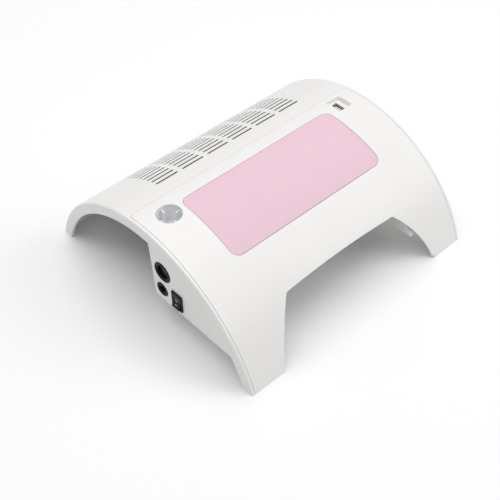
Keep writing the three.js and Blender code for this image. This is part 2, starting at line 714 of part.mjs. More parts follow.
// The pad's outline in places along X and along the arc, with its long stretches divided
function padOutline() {
  const width = PAD_WIDTH - 2 * PAD_CLEARANCE;
  const length = PAD_LENGTH - 2 * PAD_CLEARANCE;
  const plan = rounded(width, length, PAD_CORNER - PAD_CLEARANCE);
  return plan.flatMap((point, i) => {
    const next = plan[(i + 1) % plan.length];
    const steps = Math.max(1, Math.round(point.distanceTo(next) / PAD_STEP));
    return Array.from({ length: steps }, (_, k) => point.clone().lerp(next, k / steps));
  });
}

// The pad: a crowned top, sides that draw in between the corners and a rounded edge, bent over the arch.
// Rings run from the middle of the underside outwards, up the side and back to the middle of the top.
function padSolid() {
  const outline = padOutline();
  const halfWidth = PAD_WIDTH / 2 - PAD_CLEARANCE;
  const halfLength = PAD_LENGTH / 2 - PAD_CLEARANCE;
  const bottom = PAD_FLOOR + GAP;
  const edge = RADIUS - PAD_EDGE_DROP;
  const crowned = (x, v) => edge + PAD_CROWN * (1 - (x / halfWidth) ** 4) * (1 - (v / halfLength) ** 2);
  const rings = [];
  for (let i = 1; i <= PAD_RINGS; i++) {
    rings.push({ scale: i / PAD_RINGS, inset: PAD_EDGE_ROUND, height: () => bottom });
  }
  rings.push({ scale: 1, inset: 0, height: () => bottom + PAD_EDGE_ROUND / 2 });
  rings.push({ scale: 1, inset: 0, height: () => edge - PAD_EDGE_ROUND / 2 });
  for (let i = PAD_RINGS; i >= 1; i--) {
    rings.push({ scale: i / PAD_RINGS, inset: PAD_EDGE_ROUND, height: crowned });
  }
  const positions = [];
  const push = (x, v, radius) => {
    const angle = PAD_LEAN + v / RADIUS;
    positions.push(x, radius * Math.sin(angle), AXIS_Z + radius * Math.cos(angle));
  };
  for (const { scale, inset, height } of rings) {
    for (const point of outline) {
      const drawn = PAD_DRAW_IN * scale;
      const pulledX = drawn * (1 - (point.y / halfLength) ** 2) * (point.x / halfWidth);
      const pulledV = drawn * (1 - (point.x / halfWidth) ** 2) * (point.y / halfLength);
      const x = point.x * scale * (1 - inset / halfWidth) - pulledX;
      const v = point.y * scale * (1 - inset / halfLength) - pulledV;
      push(x, v, height(x, v));
    }
  }
  push(0, 0, bottom);
  push(0, 0, crowned(0, 0));
  const count = outline.length;
  const triangles = [];
  const [floorMiddle, topMiddle] = [rings.length * count, rings.length * count + 1];
  for (let i = 0; i < count; i++) {
    const next = (i + 1) % count;
    triangles.push(floorMiddle, next, i);
    for (let k = 0; k + 1 < rings.length; k++) {
      const [low, high] = [k * count, (k + 1) * count];
      triangles.push(low + i, low + next, high + next, low + i, high + next, high + i);
    }
    const last = (rings.length - 1) * count;
    triangles.push(topMiddle, last + i, last + next);
  }
  const geometry = new THREE.BufferGeometry();
  geometry.setAttribute("position", new THREE.Float32BufferAttribute(positions, 3));
  geometry.setIndex(triangles);
  return solidOf(geometry);
}

// A housing's outline across the arch, drawn in from its rear and floor by a wall
function housingOutline(wall) {
  const floor = HOUSING_FLOOR_Z + wall;
  const rearAt = (z) => HOUSING_REAR_Y - wall + (z - HOUSING_FLOOR_Z) * Math.tan(HOUSING_DRAFT);
  return [
    new THREE.Vector2(rearAt(floor), floor),
    new THREE.Vector2(rearAt(HEIGHT), HEIGHT),
    new THREE.Vector2(-DEPTH / 2, HEIGHT),
    new THREE.Vector2(-DEPTH / 2, floor),
  ];
}

// The plan of a housing with a round rear edge at its outer end, leaned with its rear wall
function housingPlan(side) {
  const rear = HOUSING_REAR_Y - HOUSING_ROUND;
  const outer = -PANEL_X - HOUSING_ROUND;
  const edge = Array.from({ length: CORNER_STEPS + 1 }, (_, i) => {
    const angle = (i / CORNER_STEPS) * Math.PI / 2;
    const along = outer + HOUSING_ROUND * Math.cos(angle);
    return new THREE.Vector2(side * along, rear + HOUSING_ROUND * Math.sin(angle));
  });
  const plan = [
    new THREE.Vector2(0, -DEPTH),
    new THREE.Vector2(-side * PANEL_X, -DEPTH),
    ...edge,
    new THREE.Vector2(0, HOUSING_REAR_Y),
  ];
  const slope = Math.tan(HOUSING_DRAFT);
  const frame = new THREE.Matrix4().makeShear(0, 0, 0, 0, 0, slope);
  frame.premultiply(new THREE.Matrix4().makeTranslation(0, -HOUSING_FLOOR_Z * slope, 0));
  return prism(plan, 0, 2 * HEIGHT, frame);
}

// A housing: floor, inner and rear walls, a low front wall behind the skin, and the panel as its outer wall
function housing(side) {
  const outline = housingOutline(0);
  const innerX = side * HOUSING_INNER_X;
  const panel = prism(outline, innerX, -side * PANEL_X, ACROSS).intersect(core(PANEL_ROOF));
  const body = prism(outline, innerX, side * LID_HALF, ACROSS).intersect(core(HOUSING_ROOF));
  const lipTop = OPENING_TOP + HOUSING_LIP;
  const hollowX = side * (HOUSING_INNER_X + HOUSING_WALL);
  const hollow = prism(housingOutline(HOUSING_WALL), hollowX, -side * PANEL_BACK_X, ACROSS);
  const overLip = block(-WIDTH, WIDTH, -DEPTH, DEPTH, lipTop, 2 * HEIGHT);
  const room = hollow.intersect(core(HOUSING_ROOF - HOUSING_WALL).add(overLip));
  const clear = HOUSING_BOSSES.map(({ x, y }) =>
    rod(BOSS_RADIUS + GAP, HOUSING_FLOOR_Z + HOUSING_WALL, 2 * HEIGHT, side * x, y, FLAT, BOSS_SIDES),
  );
  const holes = HOUSING_BOSSES.map(({ x, y }) =>
    rod(SCREW_RADIUS + GAP, -OVERRUN, HEIGHT / 2, side * x, y, FLAT, BOSS_SIDES),
  );
  const standoffs = boardFeet(side).map(([x, y]) =>
    rod(BOARD_STANDOFF_RADIUS, HOUSING_FLOOR_Z, BOARD_Z - GAP, x, y, FLAT, BOSS_SIDES),
  );
  return joined([panel, body])
    .intersect(housingPlan(side))
    .subtract(room)
    .add(joined(standoffs))
    .subtract(joined([...clear, ...holes]));
}

// Where a housing's board stands
function boardFeet(side) {
  const feet = corners(BOARD_WIDTH / 2 - BOARD_STANDOFF_INSET, BOARD_LENGTH / 2 - BOARD_STANDOFF_INSET);
  return feet.map(([x, y]) => [side * BOARD_X + x, BOARD_Y + y]);
}

// The left housing, whose outer wall takes the sockets and the switch, clear of the cup over it
function leftHousing() {
  const sunk = PANEL_X + COUNTERBORE;
  const inside = PANEL_BACK_X + OVERRUN;
  const outside = PANEL_X - OVERRUN;
  const holes = [
    rod(SOCKET_FLANGE_RADIUS + GAP, outside, sunk, SOCKET_Y, SOCKET_Z, ACROSS, 2 * HOLE_SIDES),
    rod(SOCKET_BARREL_RADIUS + GAP, outside, inside, SOCKET_Y, SOCKET_Z, ACROSS),
    rod(JACK_FLANGE_RADIUS + GAP, outside, sunk, JACK_Y, JACK_Z, ACROSS, 2 * HOLE_SIDES),
    rod(JACK_BARREL_RADIUS + GAP, outside, inside, JACK_Y, JACK_Z, ACROSS),
    prism(switchPlan(SWITCH_BODY_WIDTH + 2 * GAP, SWITCH_BODY_HEIGHT + 2 * GAP), outside, inside, ACROSS),
    rod(CUP_RADIUS + CUP_WALL + GAP, cupBottom() - GAP, 2 * HEIGHT, CUP_X, CUP_Y, FLAT, 2 * HOLE_SIDES),
  ];
  return housing(-1).subtract(joined(holes));
}

// The right housing, clear of the lamp port's recess
function rightHousing() {
  const half = PORT_RECESS_LENGTH / 2 + PORT_WALL + GAP;
  return housing(1).subtract(
    block(0, WIDTH, PORT_Y - half, PORT_Y + half, PORT_UNDERSIDE - GAP, 2 * HEIGHT),
  );
}

// A rounded rectangle on the panel about the switch's middle
function switchPlan(width, height) {
  return rounded(width, height, SWITCH_CORNER, SWITCH_Y, SWITCH_Z);
}

// The round socket for the handpiece's plug: a flange sunk in the panel and a barrel through it
function socketSolid() {
  const face = PANEL_X + COUNTERBORE - GAP - FLANGE;
  const mouthEnd = face + SOCKET_MOUTH;
  const pins = Array.from({ length: SOCKET_PINS }, (_, i) => {
    const angle = (i - (SOCKET_PINS - 1) / 2) * SOCKET_PIN_STEP;
    const y = SOCKET_Y + SOCKET_PIN_CIRCLE * Math.sin(angle);
    const z = SOCKET_Z + SOCKET_PIN_CIRCLE * Math.cos(angle);
    return rod(SOCKET_PIN_RADIUS, mouthEnd - OVERRUN, mouthEnd + SOCKET_PIN_DEPTH, y, z, ACROSS, PIN_SIDES);
  });
  return rod(SOCKET_FLANGE_RADIUS, face, face + FLANGE, SOCKET_Y, SOCKET_Z, ACROSS, 2 * HOLE_SIDES)
    .add(rod(SOCKET_BARREL_RADIUS, face, face + SOCKET_LENGTH, SOCKET_Y, SOCKET_Z, ACROSS))
    .subtract(rod(SOCKET_MOUTH_RADIUS, face - OVERRUN, mouthEnd, SOCKET_Y, SOCKET_Z, ACROSS))
    .subtract(joined(pins));
}

// The DC jack: a flange sunk in the panel, a deep mouth and a centre pin
function jackSolid() {
  const face = PANEL_X + COUNTERBORE - GAP - FLANGE;
  const mouthEnd = face + JACK_MOUTH;
  return rod(JACK_FLANGE_RADIUS, face, face + FLANGE, JACK_Y, JACK_Z, ACROSS, 2 * HOLE_SIDES)
    .add(rod(JACK_BARREL_RADIUS, face, face + JACK_LENGTH, JACK_Y, JACK_Z, ACROSS))
    .subtract(rod(JACK_MOUTH_RADIUS, face - OVERRUN, mouthEnd, JACK_Y, JACK_Z, ACROSS))
    .add(rod(JACK_PIN_RADIUS, face + JACK_PIN_SETBACK, mouthEnd + GAP, JACK_Y, JACK_Z, ACROSS, PIN_SIDES));
}

// A hexagonal nut behind the panel
function nutSolid(across, thickness, barrel, y, z) {
  const from = PANEL_BACK_X + GAP;
  const radius = across / 2 / Math.cos(Math.PI / NUT_SIDES);
  return prism(circle(radius, NUT_SIDES, y, z), from, from + thickness, ACROSS)
    .subtract(rod(barrel + GAP, from - OVERRUN, from + OVERRUN, y, z, ACROSS));
}

// Where the rocker turns, along X
const ROCKER_PIVOT_X = PANEL_X - GAP - SWITCH_BEZEL + ROCKER_FACE;

// The switch's body: bezel, box, terminals and the cavity that the rocker tips in
function switchBody() {
  const front = PANEL_X - GAP - SWITCH_BEZEL;
  const back = front + SWITCH_BODY_LENGTH;
  const cavityHeight = 2 * (ROCKER_HALF + ROCKER_SWEEP_MARGIN + GAP);
  const cavity = prism(
    rounded(ROCKER_WIDTH + 2 * GAP, cavityHeight, GAP, SWITCH_Y, SWITCH_Z),
    front - OVERRUN,
    front + SWITCH_CAVITY,
    ACROSS,
  );
  const pinHalf = ROCKER_WIDTH / 2 + GAP + ROCKER_PIN_REACH;
  const pinHole = rod(
    ROCKER_PIN_RADIUS + GAP,
    -SWITCH_Y - pinHalf,
    -SWITCH_Y + pinHalf,
    ROCKER_PIVOT_X,
    SWITCH_Z,
    FORWARD,
    SHAFT_SIDES,
  );
  const terminals = Array.from({ length: TERMINALS }, (_, i) => {
    const z = SWITCH_Z + (i - (TERMINALS - 1) / 2) * TERMINAL_PITCH;
    return block(
      SWITCH_Y - TERMINAL_WIDTH / 2, SWITCH_Y + TERMINAL_WIDTH / 2,
      z - TERMINAL_THICKNESS / 2, z + TERMINAL_THICKNESS / 2,
      back - GAP, back + TERMINAL_LENGTH, ACROSS,
    );
  });
  return prism(switchPlan(SWITCH_WIDTH, SWITCH_HEIGHT), front, front + SWITCH_BEZEL, ACROSS)
    .add(prism(switchPlan(SWITCH_BODY_WIDTH, SWITCH_BODY_HEIGHT), front, back, ACROSS))
    .add(joined(terminals))
    .subtract(cavity)
    .subtract(pinHole);
}

// The rocker about its pivot, drawn level and then tipped to off, with its top end pressed in
function rockerGroup() {
  const outline = [
    new THREE.Vector2(ROCKER_BACK, -ROCKER_HALF),
    new THREE.Vector2(ROCKER_BACK, ROCKER_HALF),
    new THREE.Vector2(-ROCKER_END, ROCKER_HALF),
    new THREE.Vector2(-ROCKER_FACE, 0),
    new THREE.Vector2(-ROCKER_END, -ROCKER_HALF),
  ];
  const pinHalf = ROCKER_WIDTH / 2 + ROCKER_PIN_REACH;
  const solid = prism(outline, -ROCKER_WIDTH / 2, ROCKER_WIDTH / 2, FORWARD)
    .add(rod(ROCKER_PIN_RADIUS, -pinHalf, pinHalf, 0, 0, FORWARD, SHAFT_SIDES));
  const group = new THREE.Group();
  group.position.set(ROCKER_PIVOT_X, SWITCH_Y, SWITCH_Z);
  group.rotation.y = ROCKER_TILT;
  model.add(group);
  place("switch_rocker", solid, BLACK_NYLON, group);
}

// Height of the cup's underside
function cupBottom() {
  return HEIGHT - CUP_DEPTH - CUP_WALL;
}

// The handpiece cup under its hole in the cover, with ribs that stand out from its wall
function cupSolid() {
  const sides = 2 * HOLE_SIDES;
  const outer = rod(CUP_RADIUS + CUP_WALL, cupBottom(), 2 * HEIGHT, CUP_X, CUP_Y, FLAT, sides);
  const well = rod(CUP_RADIUS, HEIGHT - CUP_DEPTH, 2 * HEIGHT, CUP_X, CUP_Y, FLAT, sides);
  const ribs = Array.from({ length: CUP_RIBS }, (_, i) => {
    const frame = new THREE.Matrix4().makeTranslation(CUP_X, CUP_Y, 0);
    frame.multiply(new THREE.Matrix4().makeRotationZ((i / CUP_RIBS) * 2 * Math.PI));
    return block(
      CUP_RADIUS - CUP_RIB, CUP_RADIUS + CUP_WALL / 2,
      -CUP_RIB_THICKNESS / 2, CUP_RIB_THICKNESS / 2,
      cupBottom() + CUP_WALL / 2, HEIGHT - CUP_RIB_DROP, frame,
    );
  });
  return outer.subtract(well).add(joined(ribs)).intersect(core(INNER - GAP));
}

// The port's plated shell: a rectangular tube closed at its foot
function portShell() {
  const [halfX, halfY] = [PORT_SHELL_WIDTH / 2, PORT_SHELL_LENGTH / 2];
  const [inX, inY] = [halfX - PORT_SHELL_WALL, halfY - PORT_SHELL_WALL];
  return block(
    PORT_X - halfX, PORT_X + halfX, PORT_Y - halfY, PORT_Y + halfY, PORT_SHELL_BOTTOM, PORT_SHELL_TOP,
  ).subtract(block(
    PORT_X - inX, PORT_X + inX, PORT_Y - inY, PORT_Y + inY,
    PORT_SHELL_BOTTOM + PORT_SHELL_WALL, PORT_SHELL_TOP + OVERRUN,
  ));
}

// The port's contact tongue, off centre in its shell
function portTongue() {
  const x = PORT_X + PORT_TONGUE_WIDTH / 2;
  return block(
    x - PORT_TONGUE_WIDTH / 2, x + PORT_TONGUE_WIDTH / 2,
    PORT_Y - PORT_TONGUE_LENGTH / 2, PORT_Y + PORT_TONGUE_LENGTH / 2,
    PORT_SHELL_BOTTOM + PORT_SHELL_WALL + GAP, PORT_SHELL_TOP - PORT_TONGUE_SETBACK,
  );
}

// The small board that the port stands on
function portBoard() {
  return block(
    PORT_X - PORT_BOARD_WIDTH / 2, PORT_X + PORT_BOARD_WIDTH / 2,
    PORT_Y - PORT_BOARD_LENGTH / 2, PORT_Y + PORT_BOARD_LENGTH / 2,
    PORT_BOARD_TOP - PORT_BOARD_THICKNESS, PORT_BOARD_TOP,
  );
}

// The cap that closes the port from below, with an ear for a screw at each side
function portCap() {
  const [width, length] = [PORT_CAP_INNER_WIDTH, PORT_CAP_INNER_LENGTH];
  const outer = rounded(width + 2 * PORT_CAP_WALL, length + 2 * PORT_CAP_WALL, PORT_CAP_WALL, PORT_X, PORT_Y);
  const bottom = PORT_CAP_FLOOR_TOP - PORT_CAP_WALL;
  const ears = [-1, 1].map((side) => {
    const x = PORT_X + side * PORT_EAR_X;
    return rod(PORT_CAP_EAR / 2, PORT_EAR_TOP - PORT_CAP_EAR_THICKNESS, PORT_EAR_TOP, x, PORT_Y).add(block(
      x, x - side * (PORT_CAP_EAR / 2 + PORT_CAP_WALL / 2),
      PORT_Y - PORT_CAP_EAR / 2, PORT_Y + PORT_CAP_EAR / 2,
      PORT_EAR_TOP - PORT_CAP_EAR_THICKNESS, PORT_EAR_TOP,
    ));
  });
  const holes = [-1, 1].map((side) =>
    rod(SCREW_RADIUS + GAP, bottom, PORT_TOP, PORT_X + side * PORT_EAR_X, PORT_Y, FLAT, BOSS_SIDES),
  );
  return prism(outer, bottom, PORT_UNDERSIDE - GAP)
    .add(joined(ears))
    .subtract(prism(rectangle(
      PORT_X - width / 2, PORT_X + width / 2, PORT_Y - length / 2, PORT_Y + length / 2,
    ), PORT_CAP_FLOOR_TOP, PORT_TOP))
    .subtract(joined(holes));
}

// The duct under the slots, in its leaning frame: four walls up to the skin, a shelf with a round hole over
// each fan, and ears that the shell's bosses hold
function ductSolid() {
  const [halfX, halfY] = [DUCT_INNER_WIDTH / 2, DUCT_INNER_LENGTH / 2];
  const outer = rectangle(-halfX - DUCT_WALL, halfX + DUCT_WALL, -halfY - DUCT_WALL, halfY + DUCT_WALL);
  const inner = rectangle(-halfX, halfX, -halfY, halfY);
  const shelfPlan = rectangle(
    -halfX - DUCT_WALL / 2, halfX + DUCT_WALL / 2, -halfY - DUCT_WALL / 2, halfY + DUCT_WALL / 2,
  );
  const places = corners(DUCT_EAR_X, DUCT_EAR_Y);
  const ears = places.map(([x, y]) => {
    const root = Math.sign(x) * (halfX + DUCT_WALL / 2);
    const tip = Math.sign(x) * (DUCT_EAR_X + DUCT_EAR / 2);
    return block(root, tip, y - DUCT_EAR_WIDTH / 2, y + DUCT_EAR_WIDTH / 2, SHELF_BOTTOM, SHELF_TOP);
  });
  const holes = places.map(([x, y]) =>
    rod(SCREW_RADIUS + GAP, SHELF_BOTTOM - OVERRUN, SHELF_TOP + OVERRUN, x, y, FLAT, BOSS_SIDES),
  );
  const bores = [-1, 1].flatMap((side) => [
    rod(FAN_BORE_RADIUS, SHELF_BOTTOM - OVERRUN, SHELF_TOP + OVERRUN, side * FAN_X, 0, FLAT, FAN_BORE_SIDES),
    ...fanScrews(side).map(([x, y]) =>
      rod(SCREW_RADIUS + GAP, SHELF_BOTTOM - OVERRUN, SHELF_TOP + OVERRUN, x, y, FLAT, BOSS_SIDES),
    ),
  ]);
  return prism(outer, DUCT_BOTTOM, RADIUS)
    .subtract(prism(inner, DUCT_BOTTOM - OVERRUN, RADIUS + OVERRUN))
    .add(prism(shelfPlan, SHELF_BOTTOM, SHELF_TOP))
    .add(joined(ears))
    .subtract(joined([...holes, ...bores]))
    .intersect(core(INNER - GAP, FLAT));
}

// The two screws of a fan, at opposite corners
function fanScrews(side) {
  const half = FAN_SCREW_SPACING / 2;
  return [[side * FAN_X - half, -half], [side * FAN_X + half, half]];
}

// The filter mat on the shelf
function filterSolid() {
  const [halfX, halfY] = [DUCT_INNER_WIDTH / 2 - GAP, DUCT_INNER_LENGTH / 2 - GAP];
  return block(-halfX, halfX, -halfY, halfY, SHELF_TOP + GAP, SHELF_TOP + GAP + FILTER_THICKNESS);
}

// A fan's frame about its own axis: a square body, spokes, and the motor's base, coil and bearing
function fanFrame() {
  const spoke = rectangle(0, FAN_BORE_RADIUS + GAP, -FAN_SPOKE_WIDTH / 2, FAN_SPOKE_WIDTH / 2);
  const baseTop = FAN_BOTTOM + FAN_BASE_THICKNESS;
  const spokes = Array.from({ length: FAN_SPOKES }, (_, i) => {
    const turn = new THREE.Matrix4().makeRotationZ(((i + 0.5) / FAN_SPOKES) * 2 * Math.PI);
    return prism(spoke, FAN_BOTTOM, baseTop, turn);
  });
  const coilTop = baseTop + FAN_RUNNING_GAP + FAN_COIL_HEIGHT;
  const seat = FAN_BOTTOM + FAN_BASE_THICKNESS / 2;
  const half = FAN_SCREW_SPACING / 2;
  const screwHoles = corners(half, half).map(([x, y]) =>
    rod(SCREW_RADIUS + GAP, FAN_BOTTOM - OVERRUN, FAN_TOP + OVERRUN, x, y, FLAT, BOSS_SIDES),
  );
  return prism(rounded(FAN_SIZE, FAN_SIZE, FAN_CORNER), FAN_BOTTOM, FAN_TOP)
    .subtract(rod(FAN_BORE_RADIUS, FAN_BOTTOM - OVERRUN, FAN_TOP + OVERRUN, 0, 0, FLAT, FAN_BORE_SIDES))
    .add(joined(spokes))
    .add(rod(FAN_HUB_RADIUS, FAN_BOTTOM, baseTop, 0, 0, FLAT, FAN_HUB_SIDES))
    .add(rod(FAN_COIL_RADIUS, FAN_BOTTOM, coilTop, 0, 0, FLAT, FAN_HUB_SIDES))
    .subtract(rod(FAN_SHAFT_RADIUS + GAP, seat, coilTop + OVERRUN, 0, 0, FLAT, SHAFT_SIDES))
    .subtract(joined(screwHoles));
}

// One cambered blade's section, pushed outwards from inside the hub and pitched
function bladeSolid(turn) {
  const upper = [];
  const lower = [];
  for (let i = 0; i <= FAN_BLADE_STEPS; i++) {
    const along = (i / FAN_BLADE_STEPS - 0.5) * FAN_BLADE_CHORD;
    const camber = FAN_BLADE_CAMBER * (1 - (2 * along / FAN_BLADE_CHORD) ** 2);
    upper.push(new THREE.Vector2(along, camber + FAN_BLADE_THICKNESS / 2));
    lower.unshift(new THREE.Vector2(along, camber - FAN_BLADE_THICKNESS / 2));
  }
  const geometry = new THREE.ExtrudeGeometry(new THREE.Shape([...upper, ...lower]), {
    depth: FAN_BORE_RADIUS - FAN_HUB_RADIUS + FAN_HUB_WALL / 2,
    bevelEnabled: false,
  });
  geometry.rotateZ(FAN_BLADE_PITCH);
  geometry.applyMatrix4(ACROSS);
  geometry.translate(FAN_HUB_RADIUS - FAN_HUB_WALL / 2, 0, rotorMiddle());
  geometry.rotateZ(turn);
  return solidOf(geometry);
}

// Height of the rotor's middle in the fan bay
function rotorMiddle() {
  return FAN_BOTTOM + FAN_BASE_THICKNESS + FAN_RUNNING_GAP + FAN_HUB_HEIGHT / 2;
}

// A fan's rotor about its own axis: a cup over the coil, a shaft in the bearing and the blades
function fanRotor() {
  const bottom = rotorMiddle() - FAN_HUB_HEIGHT / 2;
  const top = rotorMiddle() + FAN_HUB_HEIGHT / 2;
  const shaftEnd = FAN_BOTTOM + FAN_BASE_THICKNESS / 2 + GAP;
  const inside = FAN_HUB_RADIUS - FAN_HUB_WALL;
  const root = FAN_HUB_RADIUS - FAN_HUB_WALL / 2;
  const tip = FAN_BORE_RADIUS - FAN_TIP_CLEARANCE;
  const cup = rod(FAN_HUB_RADIUS, bottom, top, 0, 0, FLAT, FAN_HUB_SIDES)
    .subtract(rod(inside, bottom - OVERRUN, top - FAN_HUB_WALL, 0, 0, FLAT, FAN_HUB_SIDES));
  const sweep = rod(tip, bottom, top, 0, 0, FLAT, FAN_BORE_SIDES)
    .subtract(rod(root, bottom - OVERRUN, top + OVERRUN, 0, 0, FLAT, FAN_HUB_SIDES));
  const blades = Array.from({ length: FAN_BLADES }, (_, i) => bladeSolid((i / FAN_BLADES) * 2 * Math.PI));
  return cup
    .add(rod(FAN_SHAFT_RADIUS, shaftEnd, top - FAN_HUB_WALL / 2, 0, 0, FLAT, SHAFT_SIDES))
    .add(joined(blades).intersect(sweep));
}

// The lamp tray in its leaning frame: a plate with a hole for each bead, walls, and feet for the board
function reflectorSolid() {
  const plan = rounded(LAMP_WIDTH, LAMP_LENGTH, 2 * LAMP_WALL);
  const hollow = rounded(LAMP_WIDTH - 2 * LAMP_WALL, LAMP_LENGTH - 2 * LAMP_WALL, LAMP_WALL);
  const beads = beadPlaces().map(([x, y]) =>
    rod(LED_RADIUS + GAP, LAMP_FLOOR - OVERRUN, LAMP_FLOOR_TOP + OVERRUN, x, y, FLAT, LED_SIDES),
  );
  const feet = ledFeet().map(([x, y]) =>
    rod(LED_STANDOFF_RADIUS, LAMP_FLOOR, LED_BOARD_BOTTOM - GAP, x, y, FLAT, LED_SIDES),
  );
  const holes = corners(LAMP_BOSS_X, LAMP_BOSS_Y).map(([x, y]) =>
    rod(SCREW_RADIUS + GAP, LAMP_FLOOR - OVERRUN, LAMP_FLOOR_TOP + OVERRUN, x, y, FLAT, BOSS_SIDES),
  );
  return prism(plan, LAMP_FLOOR, RADIUS)
    .subtract(prism(hollow, LAMP_FLOOR_TOP, RADIUS + OVERRUN))
    .add(joined(feet))
    .subtract(joined([...beads, ...holes]))
    .intersect(core(PAD_UNDERSIDE - GAP, FLAT));
}

// Where the lamp beads are
function beadPlaces() {
  const places = [];
  for (let column = 0; column < LED_COLUMNS; column++) {
    for (let row = 0; row < LED_ROWS; row++) {
      places.push([
        (column - (LED_COLUMNS - 1) / 2) * LED_COLUMN_PITCH,
        (row - (LED_ROWS - 1) / 2) * LED_ROW_PITCH,
      ]);
    }
  }
  return places;
}

// Where the lamp board stands on its tray
function ledFeet() {
  return corners(LED_BOARD_WIDTH / 2 - LED_STANDOFF_INSET, LED_BOARD_LENGTH / 2 - LED_STANDOFF_INSET);
}

// The lamp board with its beads, which hang through the tray
function ledBoard() {
  const top = LED_BOARD_BOTTOM + LED_BOARD_THICKNESS;
  const profile = [
    [0, LAMP_FLOOR - LED_REACH],
    [LED_RADIUS * Math.SQRT1_2, LAMP_FLOOR - LED_REACH * Math.SQRT1_2],
    [LED_RADIUS, LAMP_FLOOR],
    [LED_RADIUS, LED_BOARD_BOTTOM + LED_BOARD_THICKNESS / 2],
    [0, LED_BOARD_BOTTOM + LED_BOARD_THICKNESS / 2],
  ];
  const points = profile.map(([radius, height]) => new THREE.Vector2(radius, height));
  const beads = beadPlaces().map(([x, y]) => {
    const geometry = new THREE.LatheGeometry(points, LED_SIDES);
    geometry.rotateX(Math.PI / 2);
    geometry.translate(x, y, 0);
    return solidOf(geometry);
  });
  return prism(rectangle(
    -LED_BOARD_WIDTH / 2, LED_BOARD_WIDTH / 2, -LED_BOARD_LENGTH / 2, LED_BOARD_LENGTH / 2,
  ), LED_BOARD_BOTTOM, top).add(joined(beads));
}

// A board with its components, as shares of the board's width, length and width again for height
const POWER_PART_SHARES = [
  { x: -0.2, y: 0.3, width: 0.45, length: 0.16, height: 0.45 },
  { x: 0.2, y: 0.08, width: 0.3, length: 0.14, height: 0.7 },
  { x: -0.25, y: -0.12, width: 0.3, length: 0.2, height: 0.3 },
  { x: 0.12, y: -0.3, width: 0.6, length: 0.1, height: 0.55 },
];
const DRIVER_PART_SHARES = [
  { x: 0.1, y: 0.28, width: 0.6, length: 0.18, height: 0.4 },
  { x: -0.22, y: 0, width: 0.28, length: 0.14, height: 0.6 },
  { x: 0.2, y: -0.06, width: 0.32, length: 0.12, height: 0.25 },
  { x: 0, y: -0.3, width: 0.5, length: 0.14, height: 0.35 },
];

function boardSolid(side, shares) {
  const x = side * BOARD_X;
  const top = BOARD_Z + BOARD_THICKNESS;
  const parts = shares.map((part) => {
    const [px, py] = [x + part.x * BOARD_WIDTH, BOARD_Y + part.y * BOARD_LENGTH];
    const [halfX, halfY] = [part.width * BOARD_WIDTH / 2, part.length * BOARD_LENGTH / 2];
    return block(
      px - halfX, px + halfX, py - halfY, py + halfY,
      BOARD_Z + BOARD_THICKNESS / 2, top + part.height * BOARD_WIDTH,
    );
  });
  return block(
    x - BOARD_WIDTH / 2, x + BOARD_WIDTH / 2, BOARD_Y - BOARD_LENGTH / 2, BOARD_Y + BOARD_LENGTH / 2,
    BOARD_Z, top,
  ).add(joined(parts));
}

// The shell, the cover and what sits in them
place("main_shell", mainShell(), WHITE_ABS);
place("front_cover", frontCover(), WHITE_ABS);
place("hand_rest_pad", padSolid(), PINK_FOAM);
place("handpiece_cup", cupSolid(), WHITE_ABS);
place("port_shell", portShell(), PLATED_STEEL);
place("port_tongue", portTongue(), PORT_WHITE);
place("port_board", portBoard(), BOARD_GREEN);
place("port_cap", portCap(), WHITE_ABS);

// The housings with the controls
place("left_housing", leftHousing(), WHITE_ABS);
place("right_housing", rightHousing(), WHITE_ABS);
place("handpiece_socket", socketSolid(), BLACK_NYLON);
place("handpiece_socket_nut", nutSolid(
  SOCKET_NUT_ACROSS, SOCKET_NUT, SOCKET_BARREL_RADIUS, SOCKET_Y, SOCKET_Z,
), PLATED_STEEL);
place("dc_jack", jackSolid(), BLACK_NYLON);
place("dc_jack_nut", nutSolid(JACK_NUT_ACROSS, JACK_NUT, JACK_BARREL_RADIUS, JACK_Y, JACK_Z), PLATED_STEEL);
place("switch_body", switchBody(), BLACK_NYLON);
rockerGroup();
place("power_board", boardSolid(-1, POWER_PART_SHARES), BOARD_GREEN);
place("lamp_driver_board", boardSolid(1, DRIVER_PART_SHARES), BOARD_GREEN);

// The fan bay
const fanBay = bay(BAY_LEAN);
place("fan_duct", ductSolid(), GREY_ABS, fanBay);
place("dust_filter", filterSolid(), FILTER_FELT, fanBay);
for (const [name, side] of [["left", -1], ["right", 1]]) {
  const fan = new THREE.Group();
  fan.position.x = side * FAN_X;
  fanBay.add(fan);
  place("fan_frame_" + name, fanFrame(), BLACK_NYLON, fan);
  place("fan_rotor_" + name, fanRotor(), BLACK_NYLON, fan);
  fanScrews(side).forEach(([x, y], i) => {
    const screw = place(
      "fan_screw_" + name + "_" + (i + 1), screwSolid(FAN_THICKNESS + SHELF_THICKNESS), PLATED_STEEL, fanBay,
    );
    screw.position.set(x, y, FAN_BOTTOM - GAP);
  });
}
corners(DUCT_EAR_X, DUCT_EAR_Y).forEach(([x, y], i) => {
  const screw = place("duct_screw_" + (i + 1), screwSolid(SCREW_LENGTH), PLATED_STEEL, fanBay);
  screw.position.set(x, y, SHELF_BOTTOM - GAP);
});

// The lamp bay
const lampBay = bay(LAMP_LEAN);
place("lamp_reflector", reflectorSolid(), LAMP_WHITE, lampBay);
place("led_board", ledBoard(), LED_BOARD_WHITE, lampBay);
corners(LAMP_BOSS_X, LAMP_BOSS_Y).forEach(([x, y], i) => {
  const screw = place("lamp_screw_" + (i + 1), screwSolid(SCREW_LENGTH), PLATED_STEEL, lampBay);
  screw.position.set(x, y, LAMP_FLOOR - GAP);
});

